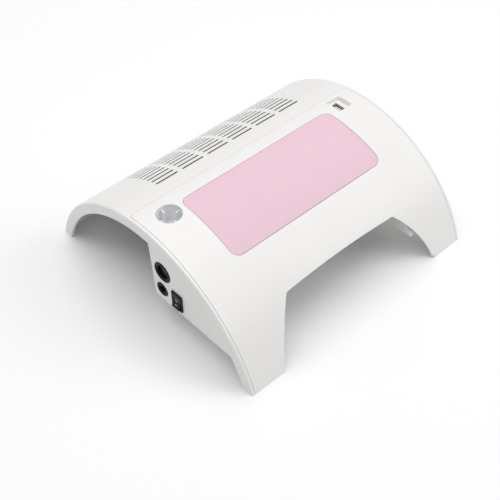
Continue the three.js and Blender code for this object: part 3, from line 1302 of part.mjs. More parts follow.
// The screws that come up from below into the cover
for (const [name, side] of [["left", -1], ["right", 1]]) {
  HOUSING_BOSSES.forEach(({ x, y }, i) => {
    const screw = place(name + "_housing_screw_" + (i + 1), screwSolid(SCREW_LENGTH), PLATED_STEEL);
    screw.position.set(side * x, y, HOUSING_FLOOR_Z - GAP);
  });
  const capScrew = place("cap_screw_" + name, screwSolid(SCREW_LENGTH), PLATED_STEEL);
  capScrew.position.set(PORT_X + side * PORT_EAR_X, PORT_Y, PORT_EAR_TOP - PORT_CAP_EAR_THICKNESS - GAP);
  const tabScrewLength = TAB_THICKNESS + GAP + TAB_SCREW_ENTRY;
  const tabScrew = place("cover_screw_" + name, screwSolid(tabScrewLength), PLATED_STEEL);
  tabScrew.position.set(side * TAB_X, TAB_BOSS_Y, TAB_TOP - TAB_THICKNESS - GAP);
}

export default model;
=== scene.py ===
"""The looks of a desktop manicure machine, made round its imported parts.

Sizes are millimetres until a mesh is written, which turns them into metres. X runs along the arch, the hand
opening faces -Y and Z is up. A place on the arch's skin is x, the arc length s back from the crest and a
radius r about the arch's axis.
"""

import logging
import math
from collections.abc import Callable, Sequence
from dataclasses import dataclass, field
from enum import Enum

import bmesh
import bpy
import numpy as np
from mathutils import Matrix, Vector
from mathutils.geometry import delaunay_2d_cdt


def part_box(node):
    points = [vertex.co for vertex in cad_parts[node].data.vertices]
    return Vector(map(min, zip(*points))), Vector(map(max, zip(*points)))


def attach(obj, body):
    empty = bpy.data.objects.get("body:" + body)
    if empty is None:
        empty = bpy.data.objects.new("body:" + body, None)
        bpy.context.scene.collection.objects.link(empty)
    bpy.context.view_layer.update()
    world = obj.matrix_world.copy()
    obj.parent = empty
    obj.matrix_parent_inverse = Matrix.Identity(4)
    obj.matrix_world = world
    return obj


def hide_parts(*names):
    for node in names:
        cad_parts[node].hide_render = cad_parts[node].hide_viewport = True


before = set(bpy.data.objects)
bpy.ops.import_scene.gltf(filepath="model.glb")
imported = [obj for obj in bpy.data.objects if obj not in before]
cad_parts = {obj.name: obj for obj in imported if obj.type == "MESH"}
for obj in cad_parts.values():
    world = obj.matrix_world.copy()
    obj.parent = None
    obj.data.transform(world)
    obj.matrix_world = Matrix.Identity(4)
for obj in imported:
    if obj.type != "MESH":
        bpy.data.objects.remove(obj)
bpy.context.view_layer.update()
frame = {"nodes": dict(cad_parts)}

LOG = logging.getLogger("manicure_machine")
Array = np.ndarray
Pair = tuple[float, float]
Triple = tuple[float, float, float]
Series = tuple[float, ...]

# A millimetre in metres, and distances under which points are one. The weld's grid is shifted, so that
# round numbers don't fall on its edges.
MM = 0.001
WELD = 1e-3
WELD_SHIFT = 0.37
TINY = 1e-9

# Faces that lean less than this are shaded as one.
SOFT_ANGLE = math.radians(38)

# Angles, and the pieces of a small round and of the rim's.
QUARTER = math.pi / 2
TURN = 2 * math.pi
EASE_STEPS = 3
RIM_STEPS = 6

# The screw bosses and the heads of the screws.
BOSS_RADIUS = 3.5
BOSS_EASE = 0.4
BOSS_STEPS = 20
BORE_RADIUS = 1.7
SCREW_HEAD_RADIUS = 2.9
SCREW_HEAD = 2.0

# How far parts of a moulding reach into each other, and how far a grid line lies above the inner feet.
EMBED = 0.25
FOOT_MARGIN = 1.5

# Grid lines by a slot's round ends and near its middle, as shares of half the pitch of the rows.
SLOT_BESIDE_SHARE = 0.475
SLOT_NEAR_SHARE = 0.25

# The rounds in which the height of a sloping wall's rim settles.
MEETING_ROUNDS = 6

# How far the fan bay leans back, and the lamp tray forward, as they are packed.
BAY_LEAN = 0.560809
LAMP_LEAN = math.radians(-24)

# Blender's triangulation keeps what is inside the outer loop, and joins points this close.
CDT_INSIDE = 1
CDT_EPSILON = 1e-6


# Numbers and outlines


def unit(vectors: Array) -> Array:
    """Scales vectors to length 1, and leaves a vector of no length as it is."""
    lengths = np.linalg.norm(vectors, axis=-1, keepdims=True)
    return vectors / np.where(lengths > TINY, lengths, 1.0)


def stations(stops: Sequence[float], steps: Sequence[float]) -> Array:
    """Divides the stretches between stops evenly.

    Args:
        stops: the places that stay, in order.
        steps: the longest piece allowed in each stretch.

    Returns:
        All the places, from the first stop to the last.
    """
    parts = [
        np.linspace(a, b, max(1, math.ceil(abs(b - a) / step - TINY)) + 1)[:-1]
        for a, b, step in zip(stops, stops[1:], steps)
    ]
    return np.append(np.concatenate(parts), stops[-1])


def closed(loop: Array) -> Array:
    """Repeats a loop's first point at its end."""
    return np.concatenate([loop, loop[:1]])


def pairs(first: Array | float, second: Array | float) -> Array:
    """Joins two arrays, either of which may be one number for all, into points of a plane."""
    return np.stack(np.broadcast_arrays(first, second), axis=-1)


def ring(steps: int) -> Array:
    """Gives points round a circle of radius 1, as the cosine and sine of even turns.

    Args:
        steps: the number of turns.

    Returns:
        One point more than that, because the first one comes again.
    """
    turn = np.linspace(0, TURN, steps + 1)
    turn[-1] = 0
    return pairs(np.cos(turn), np.sin(turn))


def quarter(radius: float, steps: int = EASE_STEPS) -> Array:
    """Gives a quarter round: the radius times 1 - sin a and 1 - cos a, for a up to a quarter turn."""
    turn = np.linspace(0, QUARTER, steps + 1)
    return radius * pairs(1 - np.sin(turn), 1 - np.cos(turn))


def spread(count: int, pitch: float) -> Array:
    """Gives places an even pitch apart, about 0."""
    return (np.arange(count) - (count - 1) / 2) * pitch


def perimeter(x_lines: Array, s_lines: Array) -> Array:
    """Gives the points where a block of grid lines meets its edge.

    Args:
        x_lines: the grid lines along X.
        s_lines: those along the arc.

    Returns:
        The points once round, and the first one again.
    """
    back = pairs(x_lines, s_lines[-1])[-2::-1]
    left = pairs(x_lines[0], s_lines)[-2::-1]
    return np.concatenate([pairs(x_lines, s_lines[0]), pairs(x_lines[-1], s_lines)[1:], back, left])


def three_sides(x_lines: Array, s_lines: Array) -> Array:
    """Gives the points of a block's edge up its right side, along the rear and down its left side."""
    right = pairs(x_lines[-1], s_lines)
    return np.concatenate([right, pairs(x_lines, s_lines[-1])[-2::-1], (right * [-1, 1])[-2::-1]])


def circle(radius: float, sides: int, middle: Sequence[float] = (0.0, 0.0)) -> Array:
    """Gives the points of a circle, as its radius times the cosine and sine of even turns."""
    return np.asarray(middle) + radius * ring(sides)[:-1]


def rounded(width: float, length: float, corner: float, middle: Sequence[float] = (0.0, 0.0),
            steps: int = 6) -> Array:
    """Gives the points of a rectangle whose corners are quarter circles.

    Args:
        width: its size along the first axis.
        length: its size along the second axis.
        corner: the radius of its corners.
        middle: where its middle is.
        steps: the pieces of each corner.

    Returns:
        The points once round, from the right side on.
    """
    turn = np.linspace(0, QUARTER, steps + 1) + QUARTER * np.arange(4)[:, None]
    signs = np.array([[1, 1], [-1, 1], [-1, -1], [1, -1]])[:, None, :]
    centre = signs * (np.array([width, length]) / 2 - corner)
    points = centre + corner * pairs(np.cos(turn), np.sin(turn))
    return np.asarray(middle) + points.reshape(-1, 2)


def moved_in(loop: Array, margin: float) -> Array:
    """Moves a loop's sides inwards, with mitred corners.

    Args:
        loop: the points once round, anticlockwise.
        margin: how far its sides move in, or out where it is negative.

    Returns:
        As many points as the loop has.
    """
    ahead = unit(np.roll(loop, -1, axis=0) - loop)
    behind = np.roll(ahead, 1, axis=0)
    first, second = (pairs(-way[:, 1], way[:, 0]) for way in (behind, ahead))
    along = 1 + np.sum(first * second, axis=1, keepdims=True)
    return loop + margin * (first + second) / along


def turned_left(loop: Array) -> Array:
    """Puts a loop's points in anticlockwise order, by the sign of the area that they go round.

    Args:
        loop: the points once round.

    Returns:
        The same points, left or turned round.
    """
    ahead = np.roll(loop, -1, axis=0)
    area = np.sum(loop[:, 0] * ahead[:, 1] - ahead[:, 0] * loop[:, 1])
    return loop if area > 0 else loop[::-1]


def smoothstep(value: Array, low: float, high: float) -> Array:
    """Rises from 0 at low to 1 at high along a cubic that is level at both ends."""
    share = np.clip((value - low) / (high - low), 0, 1)
    return share * share * (3 - 2 * share)


def filled(edge: Array, columns: int, rows: int) -> Array:
    """Fills a closed line with a grid, as a patch blended from its four sides.

    The grid is the mean across of two sides, plus the mean down of the other two, less the four corners' own
    mean.

    Args:
        edge: the line, whose first point is the low corner of a block of grid lines.
        columns: the faces along its first side.
        rows: the faces along its second side.

    Returns:
        Rows by columns of points.
    """
    low = edge[:columns + 1]
    right = edge[columns:columns + rows + 1]
    high = edge[columns + rows:2 * columns + rows + 1][::-1]
    left = edge[2 * columns + rows:][::-1]
    u = np.linspace(0, 1, columns + 1)[None, :, None]
    v = np.linspace(0, 1, rows + 1)[:, None, None]
    across = (1 - v) * low + v * high
    down = (1 - u) * left[:, None] + u * right[:, None]
    corners = (1 - v) * ((1 - u) * low[0] + u * low[-1]) + v * ((1 - u) * high[0] + u * high[-1])
    return across + down - corners


@dataclass(frozen=True)
class Frame:
    """A place and three axes. A point lies so far along each axis from the place."""

    origin: Triple
    axes: tuple[Triple, ...]

    def points(self, local: Array) -> Array:
        """Puts points of this frame in the object's frame: the origin plus each number times its axis."""
        return np.asarray(self.origin) + np.asarray(local) @ np.array(self.axes)

    def lifted(self, loop: Array, level: Array | float) -> Array:
        """Puts the points of a plane outline, at a level along the third axis, in the object's frame."""
        return self.points(np.column_stack([loop, np.broadcast_to(level, len(loop))]))

    def at(self, first: float, second: float, third: float = 0.0) -> "Frame":
        """Gives a frame with the same axes whose origin is at a point of this one."""
        return Frame(tuple(self.points(np.array([first, second, third]))), self.axes)

    def spun(self, angle: float) -> "Frame":
        """Gives this frame turned about its third axis.

        Args:
            angle: the turn, in radians.

        Returns:
            The turned frame.
        """
        first, second, third = np.array(self.axes)
        cosine, sine = math.cos(angle), math.sin(angle)
        return Frame(self.origin, (tuple(cosine * first + sine * second),
                                   tuple(cosine * second - sine * first), tuple(third)))


FLAT = Frame((0, 0, 0), ((1, 0, 0), (0, 1, 0), (0, 0, 1)))
ACROSS = Frame((0, 0, 0), ((0, 1, 0), (0, 0, 1), (1, 0, 0)))


@dataclass(frozen=True)
class Outline:
    """A line on the unrolled skin. Its points lie a corner radius out from points of a smaller core."""

    core: Array
    out: Array
    corner: float

    @classmethod
    def facing(cls, border: Array, middle: Sequence[float], half: Sequence[float],
               corner: float) -> "Outline":
        """Gives each point of a border the point of a rounded rectangle that it faces.

        The core is the rectangle less its corner radius. A border point's own core point is the nearest
        one, and the direction out runs from it to the border point.

        Args:
            border: points round the rectangle.
            middle: the rectangle's middle.
            half: half its width and half its length.
            corner: the radius of its corners.

        Returns:
            An outline with as many points as the border.
        """
        centre = np.asarray(middle, float)
        limit = np.asarray(half, float) - corner
        relative = border - centre
        inside = np.clip(relative, -limit, limit)
        return cls(centre + inside, unit(relative - inside), corner)

    def at(self, margin: float = 0.0) -> Array:
        """Gives the outline's points, moved out by a margin."""
        return self.core + (self.corner + margin) * self.out


# Meshes


def read(items: bpy.types.bpy_prop_collection, name: str, width: int = 1, kind: type = np.float32) -> Array:
    """Reads one property of a mesh's items.

    Args:
        items: the items.
        name: the property's name.
        width: how many numbers each item has.
        kind: the kind of number that Blender keeps.

    Returns:
        A list of numbers, or rows where an item has more than one.
    """
    values = np.empty(len(items) * width, kind)
    items.foreach_get(name, values)
    return values.reshape(-1, width).astype(float) if width > 1 else values


def soft_normals(corner_vertex: Array, face_normals: Array, areas: Array) -> Array:
    """Works out a normal for each face corner.

    It is the sum of the normals of the faces at that vertex that lean less than SOFT_ANGLE from the corner's
    own face, each times its area, so a large flat face stays flat beside a narrow rounding.

    Args:
        corner_vertex: the vertex of each corner.
        face_normals: the normal of each corner's face.
        areas: the area of each corner's face.

    Returns:
        A normal of length 1 for each corner.
    """
    order = np.argsort(corner_vertex, kind="stable")
    ordered = corner_vertex[order]
    starts = np.flatnonzero(np.r_[True, ordered[1:] != ordered[:-1]])
    counts = np.diff(np.r_[starts, len(ordered)])
    group = np.repeat(np.arange(len(starts)), counts)
    sizes = counts[group]
    first = np.repeat(np.arange(len(ordered)), sizes)
    offset = np.arange(len(first)) - np.repeat(np.cumsum(sizes) - sizes, sizes)
    second = starts[group[first]] + offset
    own, other = order[first], order[second]
    near = np.sum(face_normals[own] * face_normals[other], axis=1) > math.cos(SOFT_ANGLE)
    weights = np.where(near, areas[other], 0.0)
    sums = [
        np.bincount(own, weights * face_normals[other, axis], minlength=len(corner_vertex))
        for axis in range(3)
    ]
    return unit(np.column_stack(sums))


class Patchwork:
    """Patches of points that meet along shared edges, welded into one mesh with smooth shading."""

    def __init__(self) -> None:
        """Starts with no patches."""
        self._patches: list[tuple[Array, Array, Array]] = []
        self._count = 0

    def _add(self, points: Array, normals: Array | float, faces: Array) -> "Patchwork":
        """Keeps one patch.

        Args:
            points: its points.
            normals: their normals, or 0 where the faces give them.
            faces: rows of four numbers, which count from the first of its points.

        Returns:
            The patchwork itself.
        """
        normals = np.broadcast_to(normals, points.shape)
        self._patches.append((points.reshape(-1, 3), normals.reshape(-1, 3), faces + self._count))
        self._count += points.size // 3
        return self

    def sheet(self, points: Array, normals: Array | float = 0.0, keep: Array | None = None) -> "Patchwork":
        """Adds a grid of points, with a face between each four neighbours.

        Args:
            points: rows by columns by 3.
            normals: the surface's own normals there, or 0 where the faces give them.
            keep: which of the faces are made, or none for all.

        Returns:
            The patchwork itself, as from every method that adds to it.
        """
        rows, columns = points.shape[:2]
        index = np.arange(rows * columns).reshape(rows, columns)
        faces = np.stack([index[:-1, :-1], index[:-1, 1:], index[1:, 1:], index[1:, :-1]], axis=-1)
        return self._add(points, normals, faces.reshape(-1, 4) if keep is None else faces[keep])

    def rows(self, lines: Sequence[Array]) -> "Patchwork":
        """Adds the grid whose rows are these lines of points."""
        return self.sheet(np.stack(lines))

    def loops(self, lines: Sequence[tuple[Array, float]], place: Frame) -> "Patchwork":
        """Adds the surface through plane loops, each given with its level along the frame's third axis."""
        return self.rows([place.lifted(closed(loop), level) for loop, level in lines])

    def plate(self, loops: Sequence[Array], place: Frame, level: float) -> "Patchwork":
        """Adds a flat face with holes, as triangles between the points of its loops.

        Args:
            loops: the outer loop and then the holes, which bulge outwards all the way round.
            place: the frame that the loops are drawn in.
            level: how far along the frame's third axis the face lies.

        Returns:
            The patchwork itself.
        """
        flat = np.concatenate(loops)
        owner = np.repeat(np.arange(len(loops)), [len(loop) for loop in loops])
        own = [np.flatnonzero(owner == number) for number in range(len(loops))]
        edges = pairs(np.concatenate(own), np.concatenate([np.roll(each, -1) for each in own])).tolist()
        found = delaunay_2d_cdt([Vector(point) for point in flat.tolist()], edges, [], CDT_INSIDE,
                                CDT_EPSILON)
        source = np.array([ids[0] if ids else -1 for ids in found[3]])
        corners = source[np.array(found[2])]
        first, second, third = owner[corners].T
        corners = corners[(first == 0) | (first != second) | (second != third)]
        return self._add(place.lifted(flat, level), 0.0, np.column_stack([corners, corners[:, 2]]))

    def turned(self, profile: Array, place: Frame, steps: int) -> "Patchwork":
        """Adds a turned surface: each profile point, a radius and a height, goes once round the third axis.

        Args:
            profile: radius and height pairs, which start and end on the axis or close on themselves.
            place: the frame whose third axis it turns about.
            steps: the pieces of a full turn.

        Returns:
            The patchwork itself.
        """
        local = np.empty((len(profile), steps + 1, 3))
        local[..., :2] = profile[:, None, :1] * ring(steps)
        local[..., 2] = profile[:, 1:]
        return self.sheet(place.points(local))

    def prism(self, loops: Sequence[Array], place: Frame, low: float, high: float,
              ease: float = 0.0) -> "Patchwork":
        """Adds a solid of one outline with holes, with rounded edges at both ends.

        Along each loop it carries a profile: a quarter round of the ease, a straight wall and a quarter
        round again. The two flat ends close it.

        Args:
            loops: the outer loop and then the holes.
            place: the frame that the loops are drawn in.
            low: the level of its lower end.
            high: the level of its upper end.
            ease: the radius of its edges, or 0 for sharp ones.

        Returns:
            The patchwork itself.
        """
        turn = quarter(ease) if ease > 0 else np.zeros((1, 2))
        profile = np.concatenate([turn + [0, low], turn[::-1] * [1, -1] + [0, high]])
        sides = []
        for number, loop in enumerate(turned_left(each) for each in loops):
            sign = 1 if number == 0 else -1
            sides.append([(moved_in(loop, sign * inset), level) for inset, level in profile])
            self.loops(sides[-1], place)
        self.plate([side[0][0] for side in sides], place, low)
        return self.plate([side[-1][0] for side in sides], place, high)

    def build(self, name: str, fill_feet: bool = False) -> bpy.types.Object:
        """Welds the patches into one mesh, turns its faces outwards and sets its normals.

        Points that agree to WELD become one vertex. A face that this leaves with three points is a
        triangle, and one with fewer is dropped.

        Args:
            name: the new object's name.
            fill_feet: whether flat faces close the loops left open in the plane of the desk.

        Returns:
            The new object, at the origin.
        """
        points, normals, faces = (np.concatenate(arrays) for arrays in zip(*self._patches))
        grid = np.round(points / WELD + WELD_SHIFT).astype(np.int64)
        _, first, where = np.unique(grid, axis=0, return_index=True, return_inverse=True)
        welded = where.reshape(-1)[faces]
        same = welded == np.roll(welded, -1, axis=1)
        folded = (welded[:, 0] == welded[:, 2]) | (welded[:, 1] == welded[:, 3])
        distinct = 4 - same.sum(axis=1)
        three, four = (distinct == 3) & ~folded, (distinct == 4) & ~folded
        corners = welded[three][~same[three]].reshape(-1, 3).tolist() + welded[four].tolist()
        given = np.concatenate([faces[three][~same[three]], faces[four].reshape(-1)])

        mesh = bpy.data.meshes.new(name)
        mesh.from_pydata(points[first] * MM, [], corners)
        kept = mesh.attributes.new("own_normal", "FLOAT_VECTOR", "CORNER")
        kept.data.foreach_set("vector", normals[given].astype(np.float32).reshape(-1))
        work = bmesh.new()
        work.from_mesh(mesh)
        bmesh.ops.delete(work, geom=[v for v in work.verts if not v.link_faces], context="VERTS")
        if fill_feet:
            bmesh.ops.holes_fill(work, edges=[edge for edge in work.edges if edge.is_boundary], sides=0)
        bmesh.ops.recalc_face_normals(work, faces=work.faces)
        loose = sum(len(edge.link_faces) != 2 for edge in work.edges)
        work.to_mesh(mesh)
        work.free()
        self._shade(mesh)
        if loose:
            LOG.warning("%s has %d edges without two faces", name, loose)
        made = bpy.data.objects.new(name, mesh)
        bpy.context.scene.collection.objects.link(made)
        return made

    @staticmethod
    def _shade(mesh: bpy.types.Mesh) -> None:
        """Sets the corner normals: the patch's own, turned to the face's side, or else the soft ones.

        Args:
            mesh: the mesh, with the patches' own normals as an attribute.
        """
        own = read(mesh.attributes["own_normal"].data, "vector", 3)
        mesh.attributes.remove(mesh.attributes["own_normal"])
        totals = read(mesh.polygons, "loop_total", kind=np.int32)
        of_corner = np.repeat(read(mesh.polygons, "normal", 3), totals, axis=0)
        areas = np.repeat(read(mesh.polygons, "area"), totals).astype(float)
        soft = soft_normals(read(mesh.loops, "vertex_index", kind=np.int32), of_corner, areas)
        side = np.sum(own * of_corner, axis=1, keepdims=True)
        normals = np.where(np.abs(side) > TINY, own * np.sign(side), soft)
        mesh.normals_split_custom_set(normals.tolist())


# Finishes


class Grain(Enum):
    """How the fine relief of a surface was made."""

    SPARKED = "spark-eroded mould"
    CELLS = "pressed skin"
    FIBRES = "needled fibres"
    BRUSHED = "drawn or brushed"


# Each grain's texture node, its sockets and settings, and the output that gives the height.
RELIEFS = {
    Grain.SPARKED: ("ShaderNodeTexNoise", {"Detail": 2.0, "Roughness": 0.6}, {}, "Fac"),
    Grain.CELLS: ("ShaderNodeTexVoronoi", {"Randomness": 0.9}, {"feature": "SMOOTH_F1"}, "Distance"),
    Grain.FIBRES: ("ShaderNodeTexNoise", {"Detail": 6.0, "Roughness": 0.75, "Distortion": 2.5}, {}, "Fac"),
    Grain.BRUSHED: ("ShaderNodeTexNoise", {"Detail": 2.0}, {}, "Fac"),
}


def linear(colour: str) -> Series:
    """Turns an sRGB hex colour into linear light, by the standard curve.

    Args:
        colour: six hex digits.

    Returns:
        Red, green, blue and a full alpha.
    """
    parts = np.array([int(colour[i:i + 2], 16) for i in (0, 2, 4)]) / 255
    light = np.where(parts <= 0.04045, parts / 12.92, ((parts + 0.055) / 1.055) ** 2.4)
    return (*light.tolist(), 1.0)


def add_node(tree: bpy.types.NodeTree, kind: str, sockets: dict[str | int, object] | None = None,
             **settings: object) -> bpy.types.Node:
    """Adds a node to a tree.

    Args:
        tree: the tree that it goes into.
        kind: Blender's name for the kind of node.
        sockets: what each input socket holds, or the output socket that it is linked to.
        settings: the node's own properties.

    Returns:
        The new node.
    """
    made = tree.nodes.new(kind)
    for key, value in settings.items():
        setattr(made, key, value)
    for key, value in (sockets or {}).items():
        if isinstance(value, bpy.types.NodeSocket):
            tree.links.new(value, made.inputs[key])
        else:
            made.inputs[key].default_value = value
    return made


# The colour sockets of a Mix node, and the range that a noise mostly keeps to.
MIX_FIRST, MIX_SECOND, MIX_RESULT = 6, 7, 2
NOISE_LOW, NOISE_HIGH = 0.3, 0.7


@dataclass(frozen=True)
class Finish:
    """One real material: its colours, its gloss and the fine relief that its making left."""

    name: str
    colour: str
    other_colour: str
    roughness: float
    roughness_spread: float
    grain_size: float
    grain_depth: float
    grain: Grain = Grain.SPARKED
    mottle_size: float = 60.0
    metallic: float = 0.0
    ior: float = 1.5
    sheen: float = 0.0
    coat: float = 0.0
    subsurface: float = 0.0
    stretch: Triple = (1.0, 1.0, 1.0)

    def material(self) -> bpy.types.Material:
        """Builds the material once, and gives the same one after that.

        A slow noise drifts between the two colours and moves the roughness. The relief is a fine pattern
        whose scale is one over the grain size in metres.

        Returns:
            The material.
        """
        found = bpy.data.materials.get(self.name)
        if found:
            return found
        made = bpy.data.materials.new(self.name)
        made.use_nodes = True
        tree = made.node_tree
        tree.nodes.clear()
        place = add_node(tree, "ShaderNodeTexCoord").outputs["Object"]
        slow = add_node(tree, "ShaderNodeTexNoise", {"Vector": place, "Scale": 1 / (self.mottle_size * MM),
                                                     "Detail": 3.0, "Roughness": 0.5})
        colour = add_node(tree, "ShaderNodeMix", {
            "Factor": slow.outputs["Fac"], MIX_FIRST: linear(self.colour),
            MIX_SECOND: linear(self.other_colour)}, data_type="RGBA")
        drawn = add_node(tree, "ShaderNodeMapping", {"Vector": place, "Scale": self.stretch}).outputs["Vector"]
        kind, sockets, settings, output = RELIEFS[self.grain]
        sockets = {"Vector": drawn, "Scale": 1 / (self.grain_size * MM), **sockets}
        height = add_node(tree, kind, sockets, **settings).outputs[output]
        rough = add_node(tree, "ShaderNodeMapRange", {
            "Value": slow.outputs["Fac"], "From Min": NOISE_LOW, "From Max": NOISE_HIGH,
            "To Min": self.roughness - self.roughness_spread, "To Max": self.roughness + self.roughness_spread})
        bump = add_node(tree, "ShaderNodeBump", {"Height": height, "Strength": 1.0,
                                                 "Distance": self.grain_depth * MM})
        shader = add_node(tree, "ShaderNodeBsdfPrincipled", {
            "Base Color": colour.outputs[MIX_RESULT], "Metallic": self.metallic,
            "Roughness": rough.outputs["Result"], "IOR": self.ior, "Normal": bump.outputs["Normal"],
            "Sheen Weight": self.sheen, "Coat Weight": self.coat, "Subsurface Weight": self.subsurface})
        add_node(tree, "ShaderNodeOutputMaterial", {"Surface": shader.outputs["BSDF"]})
        return made


# Finishes of this machine's pieces

# ABS, injection moulded in a spark-eroded tool: an even satin white whose fine pits break up the highlight.
# The real pits are about 0.1 mm; they are drawn coarser, as they would not show.
WHITE_ABS = Finish("moulded white ABS", "F0EFEE", "EDECEB", 0.40, 0.04, 0.7, 0.008, ior=1.53)

# The same ABS from a polished tool, painted lighter and faintly cool: the extra white is painted light,
# standing for the light that fills the deep cup where its walls shade it.
CUP_ABS_PAINTED_LIGHT = Finish("polished ABS with painted light", "F9FAFC", "F6F7F9", 0.33, 0.03, 0.7, 0.004, ior=1.53)

# The same ABS with a grey masterbatch, for the duct that nobody sees from above.
GREY_ABS = Finish("moulded grey ABS", "BFBDBD", "B8B6B6", 0.50, 0.05, 0.7, 0.010, ior=1.53)

# Polyurethane skin on foam: a matte pink with a faint pressed grain and a soft glow at grazing angles.
PAD_SKIN = Finish("pressed polyurethane skin", "ECC8D5", "E9C3D1", 0.62, 0.05, 0.9, 0.012, Grain.CELLS,
                  ior=1.46, sheen=0.12, subsurface=0.03)

# Glass-filled nylon: near black, with a slightly uneven half-matte face. Its pits swallow part of what it would
# mirror at a flat angle, which the low index stands for.
BLACK_NYLON = Finish("glass-filled black nylon", "121113", "171618", 0.42, 0.07, 0.5, 0.012,
                     mottle_size=12, ior=1.25)

# Polished nylon of the rocker: the same black, smoother where fingers press it.
ROCKER_NYLON = Finish("polished black nylon", "0E0D0F", "131214", 0.27, 0.04, 0.5, 0.004,
                      mottle_size=10, ior=1.22)

# Needled polyester felt: dark grey, dead matte, with loose fibres.
FILTER_FELT = Finish("needled filter felt", "4A474A", "3A383B", 0.95, 0.03, 1.6, 0.35, Grain.FIBRES,
                     mottle_size=14, sheen=0.2)

# Glossy polycarbonate of the lamp tray, loaded with white so that it throws the light down.
LAMP_WHITE = Finish("gloss white polycarbonate", "F6F6F5", "F2F2F1", 0.20, 0.03, 1.2, 0.004,
                    ior=1.58)

# Silicone over yellow phosphor: the lamp beads look like pale yolks under a clear skin.
LED_SILICONE = Finish("phosphor under clear silicone", "F4E9A8", "F0E08C", 0.12, 0.03, 1.0, 0.002,
                      mottle_size=3, ior=1.41, coat=0.6, subsurface=0.15)

# White solder mask over aluminium: even and slightly glossy.
LED_BOARD_WHITE = Finish("white solder mask", "E9E9E4", "E2E2DC", 0.32, 0.05, 0.6, 0.006,
                         ior=1.55)

# Green solder mask over glass cloth, whose weave lifts it in faint rows.
BOARD_GREEN = Finish("green solder mask", "1F6A3E", "185A34", 0.35, 0.06, 0.8, 0.015, ior=1.55)

# Nickel-plated steel: a warm grey mirror with fine turning marks.
NICKEL_STEEL = Finish("nickel-plated steel", "B5B2AD", "A9A6A1", 0.24, 0.05, 0.35, 0.004, Grain.BRUSHED,
                      mottle_size=8, metallic=1.0, stretch=(1.0, 1.0, 9.0))

# Gold flash on the contacts of the port.
GOLD_FLASH = Finish("gold-flashed contact", "E2C078", "D6B268", 0.25, 0.04, 0.2, 0.002, Grain.BRUSHED,
                    mottle_size=4, metallic=1.0)

# White nylon that holds the contacts.
PORT_WHITE = Finish("white contact nylon", "F1F1EE", "EBEBE7", 0.38, 0.04, 0.5, 0.006, ior=1.53)

# Pad-printed ink of the switch marks: a thin matte white film.
MARK_WHITE = Finish("pad-printed white ink", "D2D2D2", "C4C4C4", 0.55, 0.05, 0.4, 0.006,
                    mottle_size=5)

# Contact carrier: moulded polyester, a shade lighter than the black socket round it.
CARRIER_GREY = Finish("dark grey contact polyester", "4E4D4F", "454446", 0.45, 0.05, 0.4, 0.006,
                      mottle_size=8)

# Seamless paper under the machine: plain, near white and matte.
STUDIO_PAPER = Finish("matte studio paper", "FCFCFC", "FAFAFA", 0.85, 0.02, 2.0, 0.01,
                      mottle_size=400)


def dress(piece: bpy.types.Object, finish: Finish, replaced: Sequence[str] = (),
          body: str = "arch") -> bpy.types.Object:
    """Gives a finished piece its material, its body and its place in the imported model.

    Args:
        piece: the piece.
        finish: the finish that it gets.
        replaced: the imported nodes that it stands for.
        body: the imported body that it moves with.

    Returns:
        The same piece.
    """
    piece.data.materials.append(finish.material())
    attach(piece, body)
    if replaced:
        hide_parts(*replaced)
    LOG.info("%s: %d faces, %s", piece.name, len(piece.data.polygons), finish.name)
    return piece


def rolled(path: Array, radii: Sequence[float], steps: int = 5) -> list[tuple[Array, Array]]:
    """Splits a bent line into straight runs and round corners.

    At a corner of radius r that turns by an angle a, the arc starts r times the tangent of a / 2 before the
    corner and its normals turn evenly from one side's to the next one's.

    Args:
        path: the line's corners and ends.
        radii: the radius of each inner corner.
        steps: the pieces of each arc.

    Returns:
        The points and the normals of each run.
    """
    ways = unit(np.diff(path, axis=0))
    sides = pairs(-ways[:, 1], ways[:, 0])
    runs: list[tuple[Array, Array]] = []
    start = path[0]
    for corner, radius, before, after, side in zip(path[1:-1], radii, ways, ways[1:], sides):
        turn = math.atan2(before[0] * after[1] - before[1] * after[0], float(before @ after))
        reach = radius * math.tan(abs(turn) / 2)
        end = corner - reach * before
        if np.linalg.norm(end - start) > WELD:
            runs.append((np.array([start, end]), np.array([side, side])))
        if radius > 0:
            angle = turn * np.linspace(0, 1, steps + 1)[:, None]
            normals = np.cos(angle) * side + np.sin(angle) * np.array([-side[1], side[0]])
            centre = end + math.copysign(radius, turn) * side
            runs.append((centre - math.copysign(radius, turn) * normals, normals))
        start = corner + reach * after
    runs.append((np.array([start, path[-1]]), np.array([sides[-1], sides[-1]])))
    return runs


def softened(path: Sequence[Sequence[float]], radii: Sequence[float], steps: int = 4) -> Array:
    """Gives the points of a bent line whose inner corners are round."""
    runs = rolled(np.array(path, float), radii, steps)
    return np.concatenate([runs[0][0], *(points[1:] for points, _ in runs[1:])])


# The arch's skin


def within(lines: Array, low: float, high: float) -> Array:
    """Gives the grid lines from one place to another."""
    return lines[(lines > low - WELD) & (lines < high + WELD)]


def cells(lines: Array, low: float, high: float) -> Array:
    """Tells which of the stretches between grid lines lie between two places."""
    middles = (lines[:-1] + lines[1:]) / 2
    return (middles > low) & (middles < high)


